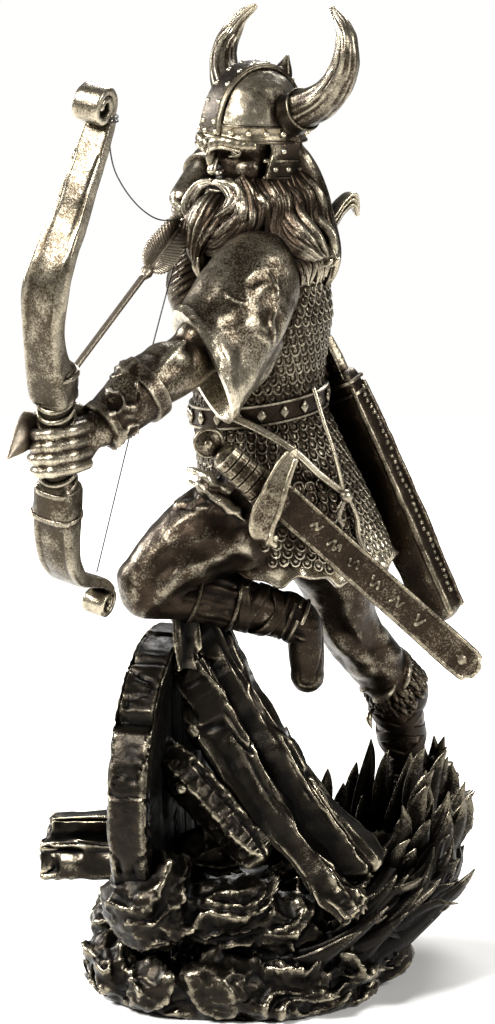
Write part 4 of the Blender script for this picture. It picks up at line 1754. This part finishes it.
head_start = ARROW_LENGTH - HEAD_LENGTH
midrib = lambda t, a: 1 + 0.28 * np.abs(np.sin(a)) ** 8 + 0 * t
arrow_shapes = [
    sweep([on_arrow(1, 0.9), on_arrow(head_start, 0.9)], rings=70, sides=16, across=BLADE_SIDE),
    sweep(
        [
            on_arrow(head_start - 1.5, 1.3, 1.3),
            on_arrow(head_start + 1, 2, 1.5),
            on_arrow(head_start + 3.8, 4.5, 1.4),
            on_arrow(head_start + 9.6, 3.4, 1.2),
            on_arrow(ARROW_LENGTH - 0.8, 0.5, 0.4),
        ],
        rings=50,
        sides=32,
        across=BLADE_SIDE,
        profile=midrib,
    ),
    sweep([on_arrow(19.4, 1.5), on_arrow(20.6, 1.7), on_arrow(21.8, 1.3)], rings=12, sides=20, across=BLADE_SIDE),
    sweep([on_arrow(-1, 1.1), on_arrow(1.6, 1.2)], rings=8, sides=16, across=BLADE_SIDE),
]


def barbs(t, a):
    """The slanted grooves between a feather's barbs."""
    return 1 + 0 * t + 0.22 * np.cos(150 * t + 5 * np.cos(a)) * (np.abs(np.sin(a)) > 0.3)


for i in range(3):
    turn = 2 * math.pi * i / 3
    out = BLADE_SIDE * math.cos(turn) + BLADE_OTHER * math.sin(turn)
    vane = []
    for along, wide in ((0.8, 1.3), (2.4, 2.1), (9, 2.5), (14, 2.7), (17.4, 2.2), (19.2, 0.8)):
        vane.append([*(NOCK + along * ARROW_LONG + out * wide), wide, 0.42])
    arrow_shapes.append(sweep(vane, rings=130, sides=20, across=out, profile=barbs, square=0.7))
arrow = mesh_object("war_arrow", arrow_shapes)
arrow_bronze = bronze("brown_bronze", "#171310", "#463d33", "#9c9180", shine=0.42)
finished(arrow, arrow_bronze, "arrow_bronze", "arrow")

# Bowstring: thin dark thread, tied under the upper roll and at the lower arm, and slack round the nock.
STRING_RADIUS = 0.2
string_top = on_bow(27.4, 0.6, 78.6)
string_low = np.array(on_bow(16.6, -0.4, -49.8))
string_nock = np.array(on_arrow(-2.9))
STRING_SLACK = [(-33.2, -71, 231.4), (-31.3, -62, 224.6), (-28, -45, 217), (-24.2, -26, 210.9), (-20.6, -12, 208)]
string_route = [string_top, *STRING_SLACK, string_nock]
for share, shift in ((0.02, (0.5, 0.8, -1)), (0.12, (-0.4, 0, 0)), (0.55, (-0.6, 0, 0)), (1, (0, 0, 0))):
    string_route.append(string_nock + (string_low - string_nock) * share + np.array(shift))
STRING_RINGS = 260
STRING_SIDES = 10
string_shape = sweep([[*p, STRING_RADIUS] for p in string_route], rings=STRING_RINGS, sides=STRING_SIDES)
string = mesh_object("bowstring_thread", [string_shape])
# Its centreline, without the three rings and the tip that round off each end
string_line = string_shape[0][3 * STRING_SIDES : (3 + STRING_RINGS) * STRING_SIDES]
string_line = string_line.reshape(STRING_RINGS, STRING_SIDES, 3).mean(1) * MM
winding = []
for k in range(2):
    turn = [
        on_bow(24.4 + 2.6 * math.cos(t), 4.2 * math.sin(t), 80.2 + 1.1 * k - 0.6 * math.cos(t), 0.24)
        for t in np.linspace(0, 2 * math.pi, 25)
    ]
    winding.append(sweep(turn, rings=60, sides=8))
winding = mesh_object("string_winding", winding)
nylon = bpy.data.materials.new("dark_nylon")
nylon.use_nodes = True
nylon_shader = nylon.node_tree.nodes["Principled BSDF"]
nylon_shader.inputs["Base Color"].default_value = linear("#1d1b19")
nylon_shader.inputs["Roughness"].default_value = 0.45
finished(string, nylon, "thread", "bowstring")
finished(winding, nylon, "thread")

# Sword: sheathed at the near hip, with a curved guard, a ribbed grip and a round pommel, cast separately
# and glued to the body. The scabbard has raised edges and a row of raised strokes down its face.
POMMEL = np.array((-10, -28.4, 152.8))
GUARD = np.array((7.4, -29.4, 137.4))
SCABBARD_END = np.array((58.2, -19, 89.2))
SWORD_LONG = unit(SCABBARD_END - GUARD)
SWORD_LENGTH = float(np.linalg.norm(SCABBARD_END - GUARD))
face_guess = np.array((0.1, -1, 0.1))
SWORD_FACE = unit(face_guess - SWORD_LONG * face_guess.dot(SWORD_LONG))
SWORD_ACROSS = np.cross(SWORD_FACE, SWORD_LONG)


def on_sword(along, across, out, *radii):
    return [*(GUARD + along * SWORD_LONG + across * SWORD_ACROSS + out * SWORD_FACE), *radii]


SCABBARD_LIFT = 1.3  # across the scabbard from the line of the grip, in mm
scabbard = sweep(
    [
        on_sword(-1, SCABBARD_LIFT, 0, 4.2, 2.3),
        on_sword(4, SCABBARD_LIFT, 0, 4.5, 2.1),
        on_sword(SWORD_LENGTH * 0.6, SCABBARD_LIFT, 0, 4.5, 2.1),
        on_sword(SWORD_LENGTH - 4, SCABBARD_LIFT, 0, 4.6, 2.1),
        on_sword(SWORD_LENGTH - 1, SCABBARD_LIFT, 0, 3.8, 1.9),
        on_sword(SWORD_LENGTH + 0.6, SCABBARD_LIFT, 0, 2.4, 1.4),
    ],
    rings=100,
    sides=44,
    across=SWORD_ACROSS,
    square=0.3,
)
sword_shapes = [scabbard]
for side in (1, -1):
    edge = [
        on_sword(1, SCABBARD_LIFT + side * 4, 1.9, 0.6),
        on_sword(SWORD_LENGTH * 0.6, SCABBARD_LIFT + side * 3.9, 1.9, 0.6),
        on_sword(SWORD_LENGTH - 4, SCABBARD_LIFT + side * 3.9, 1.9, 0.6),
        on_sword(SWORD_LENGTH - 1, SCABBARD_LIFT + side * 2.9, 1.8, 0.55),
        on_sword(SWORD_LENGTH + 0.8, SCABBARD_LIFT + side * 0.6, 1.5, 0.5),
    ]
    sword_shapes.append(sweep(edge, rings=80, sides=12))
# Raised strokes and squiggles, which are ornament and spell nothing
STROKES = [
    (12, [(-1.6, 0), (-0.6, 1.8), (0.6, 0.2), (1.6, 2.2)]),
    (19, [(-2, -1), (-0.8, 1.6), (0.6, -1.2), (1.4, 1.6), (2.4, 0)]),
    (26.5, [(-2.2, 0.4), (-1, -1.4), (0.2, 1.4), (1.6, -0.6)]),
    (34, [(-1.8, 1.4), (-0.4, -1.6), (0.8, 1), (2, -1)]),
    (42, [(-2, -1.2), (-0.6, 1.4), (1, -1), (2, 1.2)]),
    (50, [(-1.4, 1.6), (0, -1.6), (1.4, 1.6)]),
]
for along, bends in STROKES:
    sword_shapes.append(sweep([on_sword(along + 0.8 * u, SCABBARD_LIFT + 0.8 * v, 2.2, 0.42) for u, v in bends], rings=24, sides=10))
diamond = [
    on_sword(SWORD_LENGTH - 6.4, SCABBARD_LIFT, 2, 0.2),
    on_sword(SWORD_LENGTH - 4.6, SCABBARD_LIFT, 2.2, 1.4, 0.6),
    on_sword(SWORD_LENGTH - 2.8, SCABBARD_LIFT, 2, 0.2),
]
sword_shapes.append(sweep(diamond, rings=12, sides=8, across=SWORD_ACROSS))
for i in range(6):
    at = -3.6 - 2.55 * i
    wide = 4.75 - 0.15 * i
    rib = lambda t, a: 1 + 0.02 * np.cos(20 * a)
    sword_shapes.append(sweep([on_sword(at, 0, 0, wide, 3.6), on_sword(at - 2.0, 0, 0, wide - 0.1, 3.55)], rings=8, sides=60, across=SWORD_ACROSS, square=0.7, profile=rib, caps=3, round_end=0.12))
sword_shapes += [
    sweep([on_sword(1, 0, 0, 4.2, 3.2), on_sword(-18, 0, 0, 3.6, 2.9)], rings=20, sides=40, across=SWORD_ACROSS, square=0.8),
    ball(POMMEL, (4.1, 3.6, 4.1), rounds=40),
]
pommel_ring = [POMMEL + 3.6 * np.array((math.cos(a), -0.25, math.sin(a))) + (0, -0.9, 0) for a in np.linspace(0, 2 * math.pi, 25)]
sword_shapes.append(sweep([[*p, 0.42] for p in pommel_ring], rings=60, sides=8))
sword_shapes.append(ball(POMMEL + (0, -3.4, 0), (1.2, 0.9, 1.2), rounds=16))
GUARD_SWEEP = [
    (12.4, -33.2, 151.6, 0.6, 0.6),
    (11.2, -33.8, 150.2, 1.5, 0.8),
    (9.1, -34.8, 146.6, 2.2, 0.9),
    (7.3, -35.5, 142.4, 2.8, 0.9),
    (5.8, -35.7, 138.2, 3.2, 0.9),
    (4, -35.3, 134, 3.4, 0.9),
    (3.7, -34.7, 130.3, 3, 0.9),
    (5.8, -33.8, 127.9, 1.6, 0.8),
    (7.4, -33, 128.6, 0.6, 0.6),
]
sword_shapes.append(sweep(GUARD_SWEEP, rings=80, sides=24, across=SWORD_LONG, square=0.4))
for side, thick in ((1, 0.85), (-1, 0.5)):
    rim = [[*(np.array(row[:3]) + side * row[3] * SWORD_LONG - (0, 0.6, 0)), thick] for row in GUARD_SWEEP[1:-1]]
    sword_shapes.append(sweep(rim, rings=60, sides=10))
sword = mesh_object("sword_and_scabbard", sword_shapes, sharp=50)
relief(sword, lambda p, n: 0.1 * noise(p, 1.4))
worn_bronze = bronze("worn_bronze", "#0e0a07", "#33291f", "#c0b49a", shine=0.36, grain=0.5, lift=-0.04)
finished(sword, worn_bronze, "dark_bronze", "sword")

# Quiver: a flat leather case with a welt and lacing down its back edge, a riveted band at its mouth, and
# the feathers of spare arrows standing in it. It is cast separately and glued to the belt.
QUIVER_MOUTH = np.array((23.6, 11, 161.6))
QUIVER_FOOT = np.array((52.4, 9, 98))
QUIVER_LONG = unit(QUIVER_FOOT - QUIVER_MOUTH)
QUIVER_LENGTH = float(np.linalg.norm(QUIVER_FOOT - QUIVER_MOUTH))
across_guess = np.array((0.8, -0.58, 0.3))
QUIVER_ACROSS = unit(across_guess - QUIVER_LONG * across_guess.dot(QUIVER_LONG))
QUIVER_OUT = np.cross(QUIVER_LONG, QUIVER_ACROSS)


def on_quiver(along, across, out, *radii):
    return [*(QUIVER_MOUTH + along * QUIVER_LONG + across * QUIVER_ACROSS + out * QUIVER_OUT), *radii]


quiver_shapes = [
    sweep(
        [
            on_quiver(0, 0, 0, 6.2, 3.7),
            on_quiver(12, 0, 0, 6.5, 4),
            on_quiver(QUIVER_LENGTH * 0.5, 0, 0, 6.2, 4.1),
            on_quiver(QUIVER_LENGTH - 2, 0, 0, 5.4, 3.9),
        ],
        rings=80,
        sides=56,
        across=QUIVER_ACROSS,
        square=0.42,
    ),
    sweep([(23, 9.4, 160, 2.1, 0.9), (17, 9, 160.2, 2.3, 0.9), (12, 6, 160.2, 2.3, 0.9)], rings=20, sides=20, across=UP, square=0.5),
]
for along in (0.6, 4.0):
    quiver_shapes.append(sweep([on_quiver(along, 0, 0, 7.1, 4.6), on_quiver(along + 0.8, 0, 0, 7.1, 4.6)], rings=4, sides=56, across=QUIVER_ACROSS, square=0.42, caps=3, round_end=0.1))
for out in (3.1, -3.1):
    seam = [
        on_quiver(3, 5.9, out, 0.9),
        on_quiver(QUIVER_LENGTH * 0.5, 5.8, 1.05 * out, 1),
        on_quiver(QUIVER_LENGTH - 1.4, 5, out, 0.9),
    ]
    quiver_shapes.append(sweep(seam, rings=60, sides=12))
for k in range(34):
    at = 4 + 1.8 * k
    edge = 6.4 - 0.02 * at
    quiver_shapes.append(ball(on_quiver(at, edge, rng.uniform(-1.6, -0.4)), (0.9, rng.uniform(0.8, 1.3), 0.9), rounds=10))
for i in range(4):
    shift = (i - 1.56) * 2.5
    rise = 2 if i % 2 else 0
    for turn in (0, 2 * math.pi / 3, 4 * math.pi / 3):
        out = QUIVER_ACROSS * math.cos(turn + i) + QUIVER_OUT * math.sin(turn + i)
        spine = np.array(on_quiver(0, shift, i - 1.4)[:3])
        vane = [[*(spine + QUIVER_LONG * a + out * w), w, 0.3] for a, w in ((-11.6 - rise, 0.3), (-9.4 - rise, 1.1), (-4 - rise, 1.4), (-0.4, 1.3))]
        quiver_shapes.append(sweep(vane, rings=60, sides=14, across=out, profile=barbs))
    quiver_shapes.append(sweep([on_quiver(-12.4 - rise, shift, i - 1.4, 0.6), on_quiver(2, shift, i - 1.4, 0.6)], rings=10, sides=12))
quiver = mesh_object("quiver_case", quiver_shapes, sharp=50)
relief(quiver, lambda p, n: 0.22 * noise(p, 3) + 0.1 * noise(p, 1.2))

finished(quiver, worn_bronze, "dark_bronze", "quiver")

# Triangles are saved where the surface is smooth
for piece, share in (
    (rock, 0.75),
    (timbers, 0.8),
    (face, 0.5),
    (near_leg, 0.6),
    (far_leg, 0.5),
    (near_arm, 0.6),
    (far_arm, 0.45),
    (far_sleeve, 0.5),
    (near_hand, 0.6),
    (far_hand, 0.5),
    (hair, 0.6),
    (leaf, 0.65),
    (bow, 0.6),
):
    thinned(piece, share)
thinned(sleeve, 0.7, 35)
thinned(sword, 0.6, 50)
thinned(quiver, 0.6, 50)

# Ageing of the whole casting: it was dipped in a dark wash and rubbed back, so hollows stay dark and every
# edge that a hand or cloth reaches is bright. This works out how open each point lies, as "wear".
CELL = 1.0  # of the grid that holds the solid, in mm
GRID = np.array((160, 180, 300))
CORNER = np.array((-79.0, -104.0, -12.0))


def sampled(grid, points):
    """Values of a grid at points in millimetres, blended between its cells."""
    q = np.clip((points - CORNER) / CELL - 0.5, 0, GRID - 1.001)
    cell = q.astype(int)
    u = q - cell
    total = np.zeros(len(q))
    for corner in range(8):
        step = np.array([corner & 1, corner >> 1 & 1, corner >> 2])
        at = cell + step
        total += np.prod(np.where(step, u, 1 - u), axis=1) * grid[at[:, 0], at[:, 1], at[:, 2]]
    return total


# The solid is found from its skin: its steps lie where the area of the faces lies, along their normals
flow = np.zeros((3, GRID.prod()))
cast_pieces = [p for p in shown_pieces() if p not in (string, winding)]
for piece in cast_pieces:
    mesh = piece.data
    count = len(mesh.polygons)
    centres, normals, areas = np.empty(count * 3), np.empty(count * 3), np.empty(count)
    mesh.polygons.foreach_get("center", centres)
    mesh.polygons.foreach_get("normal", normals)
    mesh.polygons.foreach_get("area", areas)
    at = ((centres.reshape(-1, 3) / MM - CORNER) / CELL).astype(int)
    index = (at[:, 0] * GRID[1] + at[:, 1]) * GRID[2] + at[:, 2]
    for k in range(3):
        weight = normals.reshape(-1, 3)[:, k] * areas / MM**2 / CELL**3
        flow[k] += np.bincount(index, weight, GRID.prod())
waves = np.meshgrid(
    *(2 * np.pi * np.fft.fftfreq(n, CELL) for n in GRID[:2]), 2 * np.pi * np.fft.rfftfreq(GRID[2], CELL), indexing="ij", sparse=True
)
power = sum(w**2 for w in waves)
power[0, 0, 0] = 1
spread = sum(1j * waves[k] * np.fft.rfftn(flow[k].reshape(GRID)) for k in range(3)) / power
solid = np.fft.irfftn(spread, GRID)
solid = np.clip(solid - np.median(solid[:4]), 0, 1)
spread = np.fft.rfftn(solid)
blurred = {size: np.fft.irfftn(spread * np.exp(-power * size**2 / 2), GRID) for size in (1.3, 3.2, 8.0)}


def curvature(mesh, points, normals):
    """How sharply the skin bends at each point, above 0 on crests and below 0 in grooves."""
    edges = np.empty(len(mesh.edges) * 2, np.int32)
    mesh.edges.foreach_get("vertices", edges)
    a, b = edges.reshape(-1, 2).T
    count = len(points)
    ends, others = np.concatenate([a, b]), np.concatenate([b, a])
    share = np.maximum(np.bincount(ends, minlength=count), 1)
    mean = np.stack([np.bincount(ends, points[others, k], count) for k in range(3)], -1) / share[:, None]
    length = np.bincount(ends, np.linalg.norm(points[ends] - points[others], axis=1), count) / share
    bend = -2 * ((mean - points) * normals).sum(1) / np.maximum(length, 0.05) ** 2
    bend = np.clip(bend, -4, 4)
    return 0.5 * bend + 0.5 * np.bincount(ends, bend[others], count) / share


for piece in cast_pieces:
    points, normals = points_of(piece)
    fine = np.tanh(0.7 * curvature(piece.data, points, normals))
    near = 0.5 - sampled(blurred[1.3], points)
    middle = 0.5 - sampled(blurred[3.2], points)
    ahead = sampled(blurred[8.0], points + 5 * normals) - 0.27
    crisp = {rock: 0.36, leaf: 0.4, timbers: 0.5, log: 0.45, shield: 0.26}.get(piece, 0.22)
    wear = 0.5 + crisp * fine + 0.5 * near + 0.35 * middle - 0.7 * np.maximum(ahead, 0)
    piece.data.attributes.new("wear", "FLOAT", "POINT").data.foreach_set("value", np.clip(wear, 0, 1))

# The shield's boards keep the wash, and its rim is rubbed
points, _ = points_of(shield)
flat = (points - SHIELD_CENTRE) @ SHIELD_AXES
on_rim = np.hypot(flat[:, 0], flat[:, 1]) > SHIELD_RADIUS - SHIELD_RIM
wear = np.empty(len(points))
shield.data.attributes["wear"].data.foreach_get("value", wear)
shield.data.attributes["wear"].data.foreach_set("value", np.clip(wear + np.where(on_rim, -0.02, -0.3), 0, 1))

# Floor and lights: a plain pale floor in a white room, with a soft key light high on the left.
floor_mesh = bpy.data.meshes.new("floor")
floor_mesh.from_pydata([(-0.8, -0.8, 0), (0.8, -0.8, 0), (0.8, 0.8, 0), (-0.8, 0.8, 0)], [], [(0, 1, 2, 3)])
floor = bpy.data.objects.new("floor", floor_mesh)
bpy.context.scene.collection.objects.link(floor)
paper = bpy.data.materials.new("white_paper")
paper.use_nodes = True
paper.node_tree.nodes["Principled BSDF"].inputs["Base Color"].default_value = linear("#f2f1ee")
paper.node_tree.nodes["Principled BSDF"].inputs["Roughness"].default_value = 0.8
floor_mesh.materials.append(paper)
floor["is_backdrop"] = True
room = bpy.data.worlds.new("white_room")
room.use_nodes = True
walls = room.node_tree
# The room is white behind the object, and dim where it is only mirrored, as between black screens
seen_straight = node(walls, "ShaderNodeLightPath").outputs["Is Camera Ray"]
walls.links.new(scaled(walls, seen_straight, 0.9, 0.14), walls.nodes["Background"].inputs["Strength"])
walls.nodes["Background"].inputs["Color"].default_value = linear("#fdfcfa")
bpy.context.scene.world = room
bpy.context.scene.view_settings.view_transform = "Standard"
# Place, power in watts and size in metres
LIGHTS = [((-0.75, -0.75, 0.95), 36, 0.36), ((-0.9, 0.45, 0.5), 14, 0.3), ((0.85, -0.5, 0.6), 9, 0.4), ((0.2, 0.9, 0.9), 12, 0.5)]
for k, (place, power, size) in enumerate(LIGHTS):
    lamp = bpy.data.lights.new(f"softbox_{k}", "AREA")
    lamp.energy = power
    lamp.size = size
    softbox = bpy.data.objects.new(lamp.name, lamp)
    softbox.location = place
    softbox.rotation_euler = (CAMERA_TARGET - Vector(place)).to_track_quat("-Z", "Y").to_euler()
    bpy.context.scene.collection.objects.link(softbox)

low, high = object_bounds()
